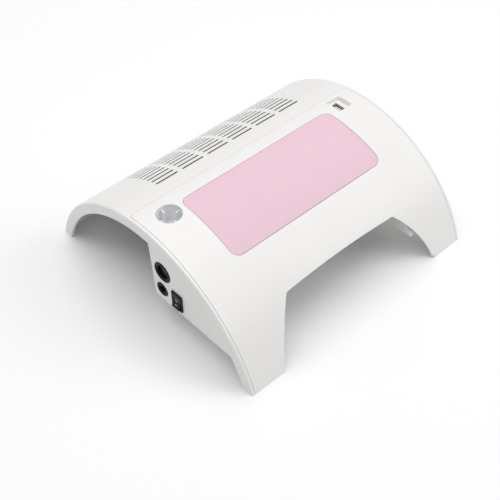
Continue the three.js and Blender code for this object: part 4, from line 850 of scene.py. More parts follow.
@dataclass(frozen=True)
class Arch:
    """The arch that the skin follows, a part of a round cylinder that lies along X."""

    width: float
    depth: float
    height: float
    wall: float = 2.5
    gap: float = 0.3
    rim_thickness: float = 4.0
    rim_depth: float = 12.0
    rim_round: float = 2.0
    seam_y: float = 22.6
    seam_corner: float = 5.0
    facet: float = 5.5

    @classmethod
    def from_frame(cls) -> "Arch":
        """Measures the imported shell. Its faceted depth is rounded to the whole millimetre it stands for."""
        low, high = (np.array(corner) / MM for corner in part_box("main_shell"))
        return cls(*np.round(high - low).tolist())

    @property
    def radius(self) -> float:
        """The outer radius: half the depth squared plus the height squared, over twice the height."""
        return (self.depth ** 2 / 4 + self.height ** 2) / (2 * self.height)

    @property
    def axis_z(self) -> float:
        """The height of the axis, which is under the desk."""
        return self.height - self.radius

    @property
    def inner(self) -> float:
        """The radius of the skin's inner face."""
        return self.radius - self.wall

    @property
    def lid_half(self) -> float:
        """Half the width between the rims."""
        return self.width / 2 - self.rim_thickness

    def foot(self, height: float = 0.0, radius: float | None = None) -> float:
        """The arc length from the crest to a height, of a point at a radius."""
        return self.radius * math.acos((height - self.axis_z) / (radius or self.radius))

    @property
    def low(self) -> float:
        """The arc length of the grid line just above the inner faces' feet."""
        return self.foot(radius=self.radius - self.rim_depth) - FOOT_MARGIN

    def seam(self, margin: float = 0.0) -> float:
        """The arc length from the crest back to the cover's rear edge, or to a line behind it."""
        return self.radius * math.asin((self.seam_y + margin) / self.radius)

    def lid(self, border: Array, gap: float = 0.0) -> Outline:
        """Gives the cover's outline, moved out by a gap. It runs on past the front feet.

        Args:
            border: the points that face it.
            gap: how far it is moved out.

        Returns:
            The outline.
        """
        depth = self.seam(gap) + 2 * self.foot()
        half = (self.lid_half + gap, depth / 2)
        return Outline.facing(border, (0, self.seam(gap) - depth / 2), half, self.seam_corner + gap)

    def at(self, x: Array, s: Array, radius: Array | float) -> Array:
        """Puts places on the skin in space.

        The angle is s over the outer radius, kept above the desk; then Y is the radius times its sine, and Z
        the axis's height plus the radius times its cosine.

        Args:
            x: how far along the arch.
            s: the arc lengths back from the crest.
            radius: how far from the arch's axis.

        Returns:
            The points in the object's frame.
        """
        x, s, radius = np.broadcast_arrays(x, s, radius)
        limit = np.arccos(-self.axis_z / radius)
        angle = np.clip(s / self.radius, -limit, limit)
        return np.stack([x, radius * np.sin(angle), self.axis_z + radius * np.cos(angle)], axis=-1)

    def on(self, line: Array, radius: Array | float) -> Array:
        """Puts pairs of x and s in space at a radius."""
        return self.at(line[..., 0], line[..., 1], radius)

    def up(self, s: Array) -> Array:
        """Gives the skin's outward directions at arc lengths."""
        angle = np.asarray(s) / self.radius
        return np.stack([np.zeros_like(angle), np.sin(angle), np.cos(angle)], axis=-1)

    def along(self, out: Array, s: Array) -> Array:
        """Turns directions on the unrolled skin into space: the first number along X, the second back."""
        angle = np.asarray(s) / self.radius
        return np.stack([out[..., 0], out[..., 1] * np.cos(angle), -out[..., 1] * np.sin(angle)], axis=-1)

    def leaning(self, angle: float = 0.0) -> Frame:
        """Gives a frame on the arch's axis whose third axis leans back from upright by an angle."""
        cosine, sine = math.cos(angle), math.sin(angle)
        return Frame((0, 0, self.axis_z), ((1, 0, 0), (0, cosine, -sine), (0, sine, cosine)))


@dataclass
class Skin:
    """Draws the patches of an arch's skin, round the blocks of a grid of lines along X and along the arc."""

    arch: Arch
    x_lines: Array
    s_lines: Array
    work: Patchwork = field(default_factory=Patchwork)

    def block(self, x0: float, x1: float, s0: float, s1: float) -> tuple[Array, Array]:
        """Gives the grid lines of the block from x0 to x1 and s0 to s1."""
        return within(self.x_lines, x0, x1), within(self.s_lines, s0, s1)

    def left_by(self, *blocks: Series) -> Array:
        """Leaves blocks out of the grid's faces.

        Args:
            blocks: each block's ends along X and then along the arc.

        Returns:
            Which faces lie in none of them.
        """
        keep = np.ones((len(self.s_lines) - 1, len(self.x_lines) - 1), bool)
        for x0, x1, s0, s1 in blocks:
            keep[np.ix_(cells(self.s_lines, s0, s1), cells(self.x_lines, x0, x1))] = False
        return keep

    def patch(self, line: Array, radius: float, keep: Array | None = None) -> None:
        """Adds a grid of pairs of x and s at a radius, less the faces that aren't kept."""
        self.work.sheet(self.arch.on(line, radius), self.arch.up(line[..., 1]), keep)

    def between(self, border: Array, edge: Array, radius: float, rows: int = 1) -> None:
        """Adds the ring between two lines of as many points, by straight steps on the unrolled skin."""
        share = np.linspace(0, 1, rows + 1)[:, None, None]
        self.patch(border + (edge - border) * share, radius)

    def lip(self, edge: Outline, radius: float, floor: float, ease: float, side: int = 1) -> None:
        """Carries an edge's profile along an outline: a quarter round and then a wall.

        At an angle a from the skin, the round is ease times (1 - sin a) back from the edge and ease times
        (1 - cos a) below the skin.

        Args:
            edge: the outline.
            radius: the radius of the skin that the edge starts from.
            floor: the radius where the wall ends.
            ease: the radius of the round.
            side: 1 where the outline goes round a hole, and -1 where it goes round the skin.
        """
        inward = -side * self.arch.along(edge.out, edge.at()[:, 1])
        if ease > 0:
            lines = np.stack([edge.at(side * inset) for inset in quarter(ease)[:, 0]])
            depths = radius - quarter(ease)[:, 1:]
            sine, cosine = (1 - quarter(1.0)).T[:, :, None, None]
            normals = cosine * self.arch.up(lines[..., 1]) + sine * inward
            self.work.sheet(self.arch.on(lines, depths), normals)
        self.work.sheet(self.arch.on(edge.at(), np.array([radius - ease, floor])[:, None]), inward)

    def sweep(self, path: Array, radii: Sequence[float], s_lines: Array, side: int = 1) -> None:
        """Carries a profile of places along X and radii along the arc.

        Args:
            path: the profile's corners.
            radii: the radii of its inner corners.
            s_lines: the arc lengths that it is carried to.
            side: 1 for the right end and -1 for the left one.
        """
        for points, normals in rolled(path, radii, RIM_STEPS):
            place = self.arch.at(side * points[:, :1], s_lines[None, :], points[:, 1:])
            facing = normals[:, None, 1:] * self.arch.up(s_lines)
            facing = facing + normals[:, None, :1] * np.array([side, 0, 0])
            self.work.sheet(place, facing)

    def bar(self, x0: float, x1: float, low: float, high: float, s_lines: Array) -> None:
        """Adds a closed bar of a rectangular section, carried along the arc.

        Args:
            x0: its left side.
            x1: its right side.
            low: the radius of its lower face.
            high: the radius of its upper face.
            s_lines: the arc lengths that it is carried to.
        """
        section = np.array([[x0, low], [x1, low], [x1, high], [x0, high], [x0, low]])
        self.work.sheet(self.arch.at(section[:, :1], s_lines[None, :], section[:, 1:]))
        for s in s_lines[[0, -1]]:
            self.work.sheet(self.arch.at(np.array([[x0, x1]]), s, np.array([[low], [high]])))

    def boss(self, place: Frame, x: float, y: float, bottom: float, roof: float, depth: float = 9.0) -> None:
        """Adds a screw boss that hangs from the skin: a tube whose upper end follows the roof's radius.

        Args:
            place: a frame on the arch's axis.
            x: where the boss is along the frame's first axis.
            y: where it is along the second.
            bottom: the level of its lower end.
            roof: the radius that its upper end follows, inside the skin.
            depth: how deep its bore is.
        """
        way = ring(BOSS_STEPS)
        path = [(0, bottom + depth), (BORE_RADIUS, bottom + depth), (BORE_RADIUS, bottom),
                (BOSS_RADIUS - BOSS_EASE, bottom), (BOSS_RADIUS, bottom + BOSS_EASE),
                *((radius, np.sqrt(roof ** 2 - (y + radius * way[:, 1]) ** 2)) for radius in (BOSS_RADIUS, 0))]
        self.work.rows([place.lifted(radius * way + [x, y], level) for radius, level in path])


@dataclass(frozen=True)
class SlotPattern:
    """The intake slots, in rows that follow the arc."""

    columns: int = 6
    rows: int = 12
    length: float = 27.5
    width: float = 2.8
    column_pitch: float = 33.2
    row_pitch: float = 7.8
    start: float = 45.3
    ease: float = 0.15
    wall: float = 0.3
    flare: float = 1.3

    def x_offsets(self) -> Array:
        """Gives the grid lines of one column.

        Returns:
            Its ends, the lines by the slot's round ends and its middle.
        """
        straight = (self.length - self.width) / 2
        beside = straight + SLOT_BESIDE_SHARE * self.row_pitch / 2
        half = np.array([straight, beside, self.column_pitch / 2])
        return np.concatenate([-half[::-1], [0.0], half])

    def s_offsets(self) -> Array:
        """Gives the grid lines of one row."""
        half = self.row_pitch / 2
        return np.array([-half, -half * SLOT_NEAR_SHARE, half * SLOT_NEAR_SHARE, half])

    def x_middles(self) -> Array:
        """Gives the middles of the columns, about the arch's middle."""
        return spread(self.columns, self.column_pitch)

    def s_middles(self) -> Array:
        """Gives the arc lengths of the rows."""
        return self.start + np.arange(self.rows) * self.row_pitch


def joined_lines(middles: Array, offsets: Array) -> Array:
    """Repeats a cell's lines at every middle, where neighbouring cells share their end lines."""
    return np.append((middles[:, None] + offsets[:-1]).reshape(-1), middles[-1] + offsets[-1])


@dataclass(frozen=True)
class MainShell:
    """The rear half of the skin with the slots, in one moulding with the two end rims."""

    arch: Arch
    slots: SlotPattern = SlotPattern()
    ease: float = 0.35
    rim_ease: float = 0.5
    band: float = 2.4
    corner_steps: int = 3
    side_step: float = 8.0
    ledge_reach: float = 3.0
    ledge_thickness: float = 1.8
    tab_x: float = 60.0
    tab_width: float = 13.0
    tab_drop: float = 7.0
    tab_reach: float = 10.0
    tab_thickness: float = 2.0
    duct_bosses: Triple = (104.95, 30.68, 141.07)

    def make(self) -> None:
        """Builds the shell: the outer and inner sheets, the slots, the cut for the cover and the rims."""
        arch = self.arch
        half = arch.width / 2 - arch.rim_round
        cut_half = arch.lid_half + arch.gap
        seam = arch.seam(arch.gap)
        band = seam + self.band
        corner_x = arch.lid_half - arch.seam_corner
        corner_s = seam - arch.seam_corner - arch.gap

        slot_lines = joined_lines(self.slots.x_middles(), self.slots.x_offsets())
        side = stations([slot_lines[-1], corner_x, half],
                        [self.side_step, (half - corner_x) / self.corner_steps])
        x_lines = np.concatenate([-side[:0:-1], slot_lines, side[1:]])
        row_lines = joined_lines(self.slots.s_middles(), self.slots.s_offsets())
        behind = stations([row_lines[-1], arch.low, arch.foot()], [arch.facet, 2 * arch.facet])
        s_lines = np.concatenate([stations([band, row_lines[0]], [arch.facet])[:-1], row_lines, behind[1:]])
        front = stations([-arch.foot(), -arch.low, corner_s, band],
                         [2 * arch.facet, arch.facet, (band - corner_s) / self.corner_steps])

        skin = Skin(arch, x_lines, s_lines)
        border = three_sides(x_lines, front)
        edge = arch.lid(border, arch.gap)
        skin.between(border, edge.at(self.ease), arch.radius)
        skin.lip(edge, arch.radius, arch.inner, self.ease)
        skin.between(np.clip(border, [-cut_half, -np.inf], [cut_half, np.inf]), edge.at(), arch.inner)

        keep = self._slots(skin)
        skin.patch(pairs(x_lines, s_lines[:, None]), arch.radius, keep)
        skin.patch(pairs(np.clip(x_lines, -cut_half, cut_half), s_lines[:, None]), arch.inner, keep)
        self._rims(skin, half, cut_half, np.concatenate([front, s_lines[1:]]))
        self._ledges(skin, cut_half)
        self._bosses(skin)
        dress(skin.work.build("main_shell_moulding", fill_feet=True), WHITE_ABS, ["main_shell"])

    def _slots(self, skin: Skin) -> Array:
        """Adds every slot: rings round it on both faces, its rounded edge, its wall and the flare behind it.

        Args:
            skin: what they are added to.

        Returns:
            Which faces of the grid the slots leave.
        """
        arch, slots = self.arch, self.slots
        behind = arch.radius - slots.wall
        x_middles, s_middles = slots.x_middles(), slots.s_middles()
        for x in x_middles:
            for s in s_middles:
                border = perimeter(x + slots.x_offsets(), s + slots.s_offsets())
                edge = Outline.facing(border, (x, s), (slots.length / 2, slots.width / 2), slots.width / 2)
                wide = edge.at(slots.flare)
                skin.between(border, edge.at(slots.ease), arch.radius)
                skin.lip(edge, arch.radius, behind, slots.ease)
                skin.work.rows([arch.on(edge.at(), behind), arch.on(wide, arch.inner)])
                skin.between(border, wide, arch.inner)
        half_row, half_column = slots.row_pitch / 2, slots.column_pitch / 2
        return skin.left_by((x_middles[0] - half_column, x_middles[-1] + half_column,
                             s_middles[0] - half_row, s_middles[-1] + half_row))

    def _rims(self, skin: Skin, half: float, cut_half: float, s_lines: Array) -> None:
        """Carries the rim's profile along the whole arc at both ends.

        Args:
            skin: what it is added to.
            half: where the skin's outer face ends, along X.
            cut_half: where the cut for the cover is, along X.
            s_lines: the grid lines along the arc.
        """
        arch = self.arch
        face, depth = arch.width / 2, arch.radius - arch.rim_depth
        path = np.array([[half, arch.radius], [face, arch.radius], [face, depth], [cut_half, depth],
                         [cut_half, arch.inner]])
        for side in (-1, 1):
            skin.sweep(path, (arch.rim_round, self.rim_ease, self.rim_ease), s_lines, side)

    def _ledges(self, skin: Skin, cut_half: float) -> None:
        """Adds the ledges that carry the cover: one in each rim, one along the seam and the two tabs.

        Args:
            skin: what they are added to.
            cut_half: where the cut for the cover is, along X.
        """
        arch = self.arch
        top = arch.inner - arch.gap
        bottom = top - self.ledge_thickness
        ledge_s = arch.radius * math.asin((arch.seam_y - self.ledge_reach) / arch.radius)
        lines = stations([-arch.foot(), -arch.low, ledge_s - arch.gap], [2 * arch.facet, arch.facet])
        for side in (-1, 1):
            ends = sorted((side * (cut_half - self.ledge_reach), side * (cut_half + EMBED)))
            skin.bar(*ends, bottom, top, lines)
        leaning = arch.leaning(ledge_s / arch.radius)
        place = Frame(leaning.origin, leaning.axes[1:] + leaning.axes[:1])
        reach = 2 * self.ledge_reach + arch.gap
        root = self.ledge_reach + 2 * arch.gap
        loop = np.array([[0, bottom], [reach, bottom], [reach, arch.inner + EMBED], [root, arch.inner + EMBED],
                         [root, top], [0, top]])
        skin.work.prism([loop], place, -cut_half - EMBED, cut_half + EMBED)
        tab_top = arch.axis_z + top - self.tab_drop
        wall = arch.seam_y - self.ledge_reach
        behind, root = wall + self.tab_thickness, arch.axis_z + bottom
        front, under = wall - self.tab_reach, tab_top - self.tab_thickness
        tab = np.array([[front, under], [behind, under], [behind, root], [wall, root], [wall, tab_top],
                        [front, tab_top]])
        for middle in (-self.tab_x, self.tab_x):
            skin.work.prism([tab], ACROSS, middle - self.tab_width / 2, middle + self.tab_width / 2, EMBED)

    def _bosses(self, skin: Skin) -> None:
        """Adds the four bosses that the duct hangs from.

        Args:
            skin: what they are added to.
        """
        x, y, bottom = self.duct_bosses
        lean = (self.slots.start + (self.slots.rows - 1) * self.slots.row_pitch / 2) / self.arch.radius
        for across in (-x, x):
            for back in (-y, y):
                skin.boss(self.arch.leaning(lean), across, back, bottom, self.arch.radius - self.arch.wall / 2)


def bent(start: Array, corner: Array, end: Array, steps: int = EASE_STEPS) -> list[Array]:
    """Rounds the edge between two surfaces.

    At a share t it is (1 - t) squared of the line before the edge, 2 t (1 - t) of the edge and t squared of
    the line after it.

    Args:
        start: the line where the rounding leaves the first surface.
        corner: the sharp edge.
        end: the line where it meets the second surface.
        steps: the pieces across the rounding.

    Returns:
        The lines from the first surface to the second.
    """
    share = np.linspace(0, 1, steps + 1)
    return [(1 - t) ** 2 * start + 2 * t * (1 - t) * corner + t ** 2 * end for t in share]


def toward(start: Array, end: Array, distance: float) -> Array:
    """Moves points a distance towards others."""
    return start + distance * unit(end - start)


@dataclass(frozen=True)
class HandOpening:
    """The opening for the hand: its sides lie on a circle and its upper edge is slightly bowed."""

    radius: float = 110.6
    centre_z: float = -23.4
    top: float = 60.4
    bow: float = 1.6
    corner: float = 4.0
    ease: float = 0.6

    @property
    def corner_middle(self) -> Pair:
        """Where the middle of the right corner's round is, along X and up."""
        z = self.top - self.bow - self.corner
        return math.sqrt((self.radius - self.corner) ** 2 - (z - self.centre_z) ** 2), z

    @property
    def lean(self) -> float:
        """The angle at which the side's circle turns into the corner's round."""
        x, z = self.corner_middle
        return math.atan2(z - self.centre_z, x)

    @property
    def side_top(self) -> float:
        """The height where the side's circle turns into the corner's round."""
        return self.centre_z + self.radius * math.sin(self.lean)

    def edge(self, side_z: Array, corners: int, shares: Array) -> Array:
        """Gives the opening's edge from the right foot to the left one, seen from the front.

        The side is the circle's x at each height. The corner turns evenly, and the bow falls with the square
        of its share of the way to the corner.

        Args:
            side_z: the heights of the points on the side, up to its top.
            corners: the pieces of the corner's round.
            shares: the shares of the points on the bow, from 1 by the corner down to 0 in the middle.

        Returns:
            Pairs of a place along X and a height.
        """
        x, z = self.corner_middle
        side = pairs(np.sqrt(self.radius ** 2 - (side_z - self.centre_z) ** 2), side_z)
        turn = np.linspace(self.lean, QUARTER, corners + 1)[1:]
        round_off = np.array([x, z]) + self.corner * pairs(np.cos(turn), np.sin(turn))
        bow = pairs(shares * x, self.top - self.bow * shares ** 2)
        half = np.concatenate([side, round_off, bow])
        return np.concatenate([half, (half * [-1, 1])[-2::-1]])


@dataclass(frozen=True)
class PadPlace:
    """Where the pad lies on the unrolled skin."""

    half_width: float = 100.0
    half_length: float = 41.9
    forward: float = 36.4
    corner: float = 10.0
    recess: float = 2.2
    block: Triple = (103.75, -83.0, 10.5)


@dataclass(frozen=True)
class CupPlace:
    """Where the cup is, seen from above."""

    x: float = -117.6
    y: float = -1.7
    radius: float = 12.6
    block: Series = (-134.5, -103.75, -20.0, 17.68)


@dataclass(frozen=True)
class PortPlace:
    """Where the lamp port is, and its tapered recess, seen from above."""

    x: float = 119.5
    y: float = 5.9
    half_width: float = 9.5
    half_length: float = 10.6
    corner: float = 1.6
    depth: float = 5.0
    floor_share: float = 0.8
    wall: float = 1.5
    hole: Pair = (3.6, 6.9)
    hole_corner: float = 0.4
    block: Series = (103.75, 134.5, -10.4, 20.18)

    def floor(self, arch: Arch) -> float:
        """Gives the height of the recess's floor: that of the skin over the port's middle, less the depth."""
        return arch.axis_z + math.sqrt(arch.radius ** 2 - self.y ** 2) - self.depth


@dataclass(frozen=True)
class FrontCover:
    """The front half of the skin, with the pad's tray, the hand opening, the cup's hole and the recess."""

    arch: Arch
    opening: HandOpening = HandOpening()
    pad: PadPlace = PadPlace()
    cup: CupPlace = CupPlace()
    port: PortPlace = PortPlace()
    ease: float = 0.35
    pad_ease: float = 0.6
    cup_ease: float = 1.0
    port_ease: float = 0.7
    fillet: float = 0.7
    frame: float = 2.5
    fine: float = 2.75
    middle_step: float = 7.5
    band_x: float = 118.0
    band_rise: float = 10.0
    band_rows: int = 4
    housing_bosses: tuple[Pair, ...] = ((97, -21), (97, -97), (137, -97))
    housing_boss_bottom: float = 33.4
    lamp_boss: Triple = (73.0, 29.0, 137.07)
    port_ear: Triple = (14.2, 97.7, 6.0)
    tab_boss: Series = (60.0, 14.6, 102.77, 4.0)

    def make(self) -> None:
        """Builds the cover: both faces of the skin, its edges, its openings and what hangs under it."""
        skin = Skin(self.arch, *self._lines())
        pad_x, *pad_s = self.pad.block
        keep = skin.left_by((-pad_x, pad_x, *pad_s), self.cup.block, self.port.block,
                            (-self.band_x, self.band_x, skin.s_lines[0], self._band_top()))
        for radius in (self.arch.radius, self.arch.inner):
            skin.patch(pairs(skin.x_lines, skin.s_lines[:, None]), radius, keep)
        for add in (self._outer_edge, self._pad_tray, self._cup_hole, self._port_recess, self._hand_opening,
                    self._bosses):
            add(skin)
        dress(skin.work.build("front_cover_moulding", fill_feet=True), WHITE_ABS, ["front_cover"])

    def _lines(self) -> tuple[Array, Array]:
        """Works out the grid lines.

        Returns:
            Those along X and those along the arc.
        """
        arch, pad = self.arch, self.pad
        face = arch.lid_half - self.frame
        corner = arch.lid_half - arch.seam_corner
        seam = arch.seam()
        half = [pad.half_width - pad.corner, pad.block[0], self.band_x, self.port.block[1], corner, face]
        right = stations(half, [self.fine, self.fine, self.fine, 2 * self.fine, self.frame / 3])
        middle = stations([-half[0], half[0]], [self.middle_step])
        x_lines = np.concatenate([-right[:0:-1], middle, right[1:]])
        side_top = -arch.foot(self.opening.side_top)
        stops = [-arch.foot(), -arch.low, side_top, side_top + self.band_rise, pad.block[1],
                 pad.corner - pad.forward - pad.half_length, self.cup.block[2], self.port.block[2],
                 pad.half_length - pad.forward - pad.corner, pad.block[2],
                 seam - arch.seam_corner, seam - self.frame]
        steps = [2 * arch.facet, arch.facet, self.fine, arch.facet, self.fine, arch.facet, self.fine,
                 self.fine, self.fine, self.fine, self.frame / 3]
        return x_lines, stations(stops, steps)

    def _band_top(self) -> float:
        """Gives the arc length of the grid line above the hand opening."""
        return -self.arch.foot(self.opening.side_top) + self.band_rise

    def _outer_edge(self, skin: Skin) -> None:
        """Adds the band along the sides and the rear, and its rounded edge.

        Args:
            skin: what it is added to.
        """
        arch, border = self.arch, three_sides(skin.x_lines, skin.s_lines)
        edge = arch.lid(border)
        skin.between(border, edge.at(-self.ease), arch.radius)
        skin.lip(edge, arch.radius, arch.inner, self.ease, -1)
        skin.between(border, edge.at(), arch.inner)

    def _pad_tray(self, skin: Skin) -> None:
        """Adds the pad's recess, its floor and the tray under it.

        Args:
            skin: what it is added to.
        """
        arch, pad = self.arch, self.pad
        columns, rows = skin.block(-pad.block[0], *pad.block)
        border, faces = perimeter(columns, rows), (len(columns) - 1, len(rows) - 1)
        middle, half = (0, -pad.forward), np.array([pad.half_width, pad.half_length])
        edge = Outline.facing(border, middle, half, pad.corner)
        floor = arch.radius - pad.recess
        skin.between(border, edge.at(self.pad_ease), arch.radius)
        skin.lip(edge, arch.radius, floor, self.pad_ease)
        skin.patch(filled(edge.at(), *faces), floor)
        tray = Outline.facing(border, middle, half + arch.wall, pad.corner + arch.wall)
        skin.between(border, tray.at(), arch.inner)
        skin.lip(tray, arch.inner, floor - arch.wall, 0, -1)
        skin.patch(filled(tray.at(), *faces), floor - arch.wall)

    def _cup_hole(self, skin: Skin) -> None:
        """Adds the round hole over the cup.

        Args:
            skin: what it is added to.
        """
        cup, arch = self.cup, self.arch
        border = perimeter(*skin.block(*cup.block))
        edge = Outline.facing(border, (cup.x, cup.y), (cup.radius, cup.radius), cup.radius)
        skin.between(border, edge.at(self.cup_ease), arch.radius)
        skin.lip(edge, arch.radius, arch.inner, self.cup_ease)
        skin.between(border, edge.at(), arch.inner)

    def _port_recess(self, skin: Skin) -> None:
        """Adds the tapered recess, its floor with the port's hole, and the block that closes it below.

        Seen from above, the line at a height h over the floor is the rounded rectangle times the floor's
        share plus what is left of 1 times h over the depth. Where the line meets the skin, h follows from
        the skin's height there, found by repeating.

        Args:
            skin: what it is added to.
        """
        arch, port = self.arch, self.port
        border = perimeter(*skin.block(*port.block))
        plan = pairs(border[:, 0], arch.radius * np.sin(border[:, 1] / arch.radius))
        middle, half = np.array([port.x, port.y]), np.array([port.half_width, port.half_length])
        floor = port.floor(arch)
        rate = (1 - port.floor_share) / port.depth

        def meeting(wall: float, radius: float, base: float) -> tuple[Array, Array]:
            """Finds where the sloping wall meets the skin.

            Args:
                wall: how far the wall lies outside the recess.
                radius: the radius of the skin's face.
                base: the height of the wall's foot.

            Returns:
                The line as places on the skin, and the foot's points.
            """
            whole = Outline.facing(plan, middle, half + wall, port.corner + wall).at() - middle
            line = middle + whole
            for _ in range(MEETING_ROUNDS):
                over = arch.axis_z + np.sqrt(radius ** 2 - line[:, 1:] ** 2) - base
                line = middle + whole * (port.floor_share + rate * over)
            foot = FLAT.lifted(middle + whole * port.floor_share, base)
            return pairs(line[:, 0], arch.radius * np.arcsin(line[:, 1] / radius)), foot

        line, foot = meeting(0, arch.radius, floor)
        rim = line + self.port_ease * Outline.facing(plan, middle, half, port.corner).out
        top = arch.on(line, arch.radius)
        mouth = FLAT.lifted(Outline.facing(plan, middle, port.hole, port.hole_corner).at(), floor)
        outer_line, outer_foot = meeting(port.wall, arch.inner, floor - port.wall)
        skin.between(border, rim, arch.radius)
        skin.work.rows([
            *bent(arch.on(rim, arch.radius), top, toward(top, foot, self.port_ease)),
            *bent(toward(foot, top, self.fillet), foot, toward(foot, mouth, self.fillet)),
            mouth, mouth - [0, 0, port.wall], outer_foot, arch.on(outer_line, arch.inner)])
        skin.between(border, outer_line, arch.inner)

    def _hand_opening(self, skin: Skin) -> None:
        """Adds the band round the hand opening and its edge, which is cut straight from the front.

        The edge keeps its x and height from the outer face to the inner one. Its rounding bends from the
        skin to the cut.

        Args:
            skin: what it is added to.
        """
        arch, opening = self.arch, self.opening
        top, join = self._band_top(), self.pad.block[0]
        top_x, side_s = skin.block(0, self.band_x, skin.s_lines[0], top)
        top_x = top_x[::-1]
        half = np.concatenate([pairs(self.band_x, side_s), pairs(top_x, top)[1:]])
        border = np.concatenate([half, (half * [-1, 1])[-2::-1]])
        heights = arch.at(0, within(side_s, side_s[0], -arch.foot(opening.side_top)), arch.radius)[:, 2]
        bow = top_x[top_x < join - WELD] / join
        edge = opening.edge(heights, len(half) - len(heights) - len(bow), bow)
        outer, inner = (pairs(edge[:, 0], -arch.radius * np.arccos((edge[:, 1] - arch.axis_z) / radius))
                        for radius in (arch.radius, arch.inner))
        along = unit(np.gradient(outer, axis=0))
        rim = outer + opening.ease * pairs(along[:, 1], -along[:, 0])
        corner, back = arch.on(outer, arch.radius), arch.on(inner, arch.inner)
        rounding = bent(arch.on(rim, arch.radius), corner, toward(corner, back, opening.ease))
        for line in rounding:
            line[[0, -1], 2] = 0
        skin.between(border, rim, arch.radius, self.band_rows)
        skin.work.rows([*rounding, back])
        skin.between(border, inner, arch.inner, self.band_rows)

    def _bosses(self, skin: Skin) -> None:
        """Adds the screw bosses of the housings, the lamp tray, the port's cap and the two tabs.

        Args:
            skin: what they are added to.
        """
        arch = self.arch
        upright, leaning = arch.leaning(), arch.leaning(LAMP_LEAN)
        skin_roof = arch.radius - arch.wall / 2
        pad_roof = arch.radius - self.pad.recess - arch.wall / 2
        low = self.housing_boss_bottom - arch.axis_z
        front = arch.radius * math.sin(-(self.pad.forward + self.pad.half_length) / arch.radius)
        x, y, bottom = self.lamp_boss
        ear, ear_bottom, ear_bore = self.port_ear
        tab_x, tab_y, tab_bottom, tab_bore = self.tab_boss
        for side in (-1, 1):
            for boss_x, boss_y in self.housing_bosses:
                roof = pad_roof if boss_x < self.pad.half_width and boss_y > front else skin_roof
                skin.boss(upright, side * boss_x, boss_y, low, roof)
            skin.boss(leaning, side * x, y, bottom, pad_roof)
            skin.boss(leaning, side * x, -y, bottom, skin_roof)
            skin.boss(upright, self.port.x + side * ear, self.port.y, ear_bottom - arch.axis_z, skin_roof,
                      ear_bore)
            skin.boss(upright, side * tab_x, tab_y, tab_bottom - arch.axis_z, skin_roof, tab_bore)


# The pad and the cup


def cushioned(half: Sequence[float], corner: float, steps: Sequence[Pair],
              rings: Sequence[Series], placed: Callable[..., Array]) -> Patchwork:
    """Makes a closed skin of a lower grid, the rings round its side and an upper grid.

    Args:
        half: half the width and half the length of the plan, a rounded rectangle.
        corner: the radius of its corners.
        steps: for each way, the longest face by the corners and between them.
        rings: each ring's margin and what placed needs for it, from the lower grid's to the upper one's.
        placed: puts points of the plan in space.

    Returns:
        The patches.
    """
    columns, rows = (stations([-size, corner - size, size - corner, size], [end, between, end])
                     for size, (end, between) in zip(half, steps))
    edge = Outline.facing(perimeter(columns, rows), (0, 0), half, corner)
    work = Patchwork()
    for margin, *rest in (rings[0], rings[-1]):
        work.sheet(placed(filled(edge.at(margin), len(columns) - 1, len(rows) - 1), *rest))
    return work.rows([placed(edge.at(margin), *rest) for margin, *rest in rings])


@dataclass(frozen=True)
class HandRestPad:
    """The soft pad, a thin foam cut that is bent over the arch and glued in its tray."""

    arch: Arch
    place: PadPlace = PadPlace()
    clearance: float = 0.16
    underside: float = 1.9
    edge_drop: float = 0.2
    crown: float = 1.0
    draw_in: float = 0.12
    roll: float = 0.9
    base_round: float = 0.5
    unevenness: float = 0.05
    waves: Pair = (17.0, 12.0)
    steps: tuple[Pair, ...] = ((1.4, 4.0), (1.4, 3.0))
    fill: float = 0.9

    def make(self) -> None:
        """Builds the pad as one closed skin: underside, rounded base, side, rolled edge and crowned top."""
        shares = np.linspace(0, 1, 2 * EASE_STEPS + 1)
        rings = [(-inset, self.underside - lift, 0) for inset, lift in quarter(self.base_round)]
        rings += [(-inset, self.edge_drop + drop, share)
                  for share, (drop, inset) in zip(shares, quarter(self.roll, 2 * EASE_STEPS))]
        work = cushioned(self._half, self.place.corner - self.clearance, self.steps, rings, self._placed)
        pad = dress(work.build("hand_rest_pad_skin"), PAD_SKIN, ["hand_rest_pad"])

    @property
    def _half(self) -> Array:
        """Half the pad's width and length."""
        return np.array([self.place.half_width, self.place.half_length]) - self.clearance

    def _placed(self, line: Array, drop: float, share: float) -> Array:
        """Puts points of the pad's plan in space.

        The sides pull in between the corners by draw_in times 1 less the square of the place along the side.
        The top rises by the crown times (1 - x to the fourth) times (1 - v squared), where x and v run from
        -1 to 1, plus the foam's slight unevenness, a product of two sines.

        Args:
            line: points of the plan.
            drop: how far they lie below the skin.
            share: how much of the crown they take.

        Returns:
            The points in the object's frame.
        """
        across, along = line[..., 0] / self._half[0], line[..., 1] / self._half[1]
        crown = self.crown * (1 - across ** 4) * (1 - along ** 2)
        waves = np.sin(line[..., 0] / self.waves[0]) * np.sin(line[..., 1] / self.waves[1] + 1)
        rise = crown + self.unevenness * waves * (1 - across ** 2) * (1 - along ** 2)
        x = line[..., 0] - self.draw_in * (1 - along ** 2) * across
        s = line[..., 1] - self.draw_in * (1 - across ** 2) * along - self.place.forward
        return self.arch.at(x, s, self.arch.radius - drop + share * rise)


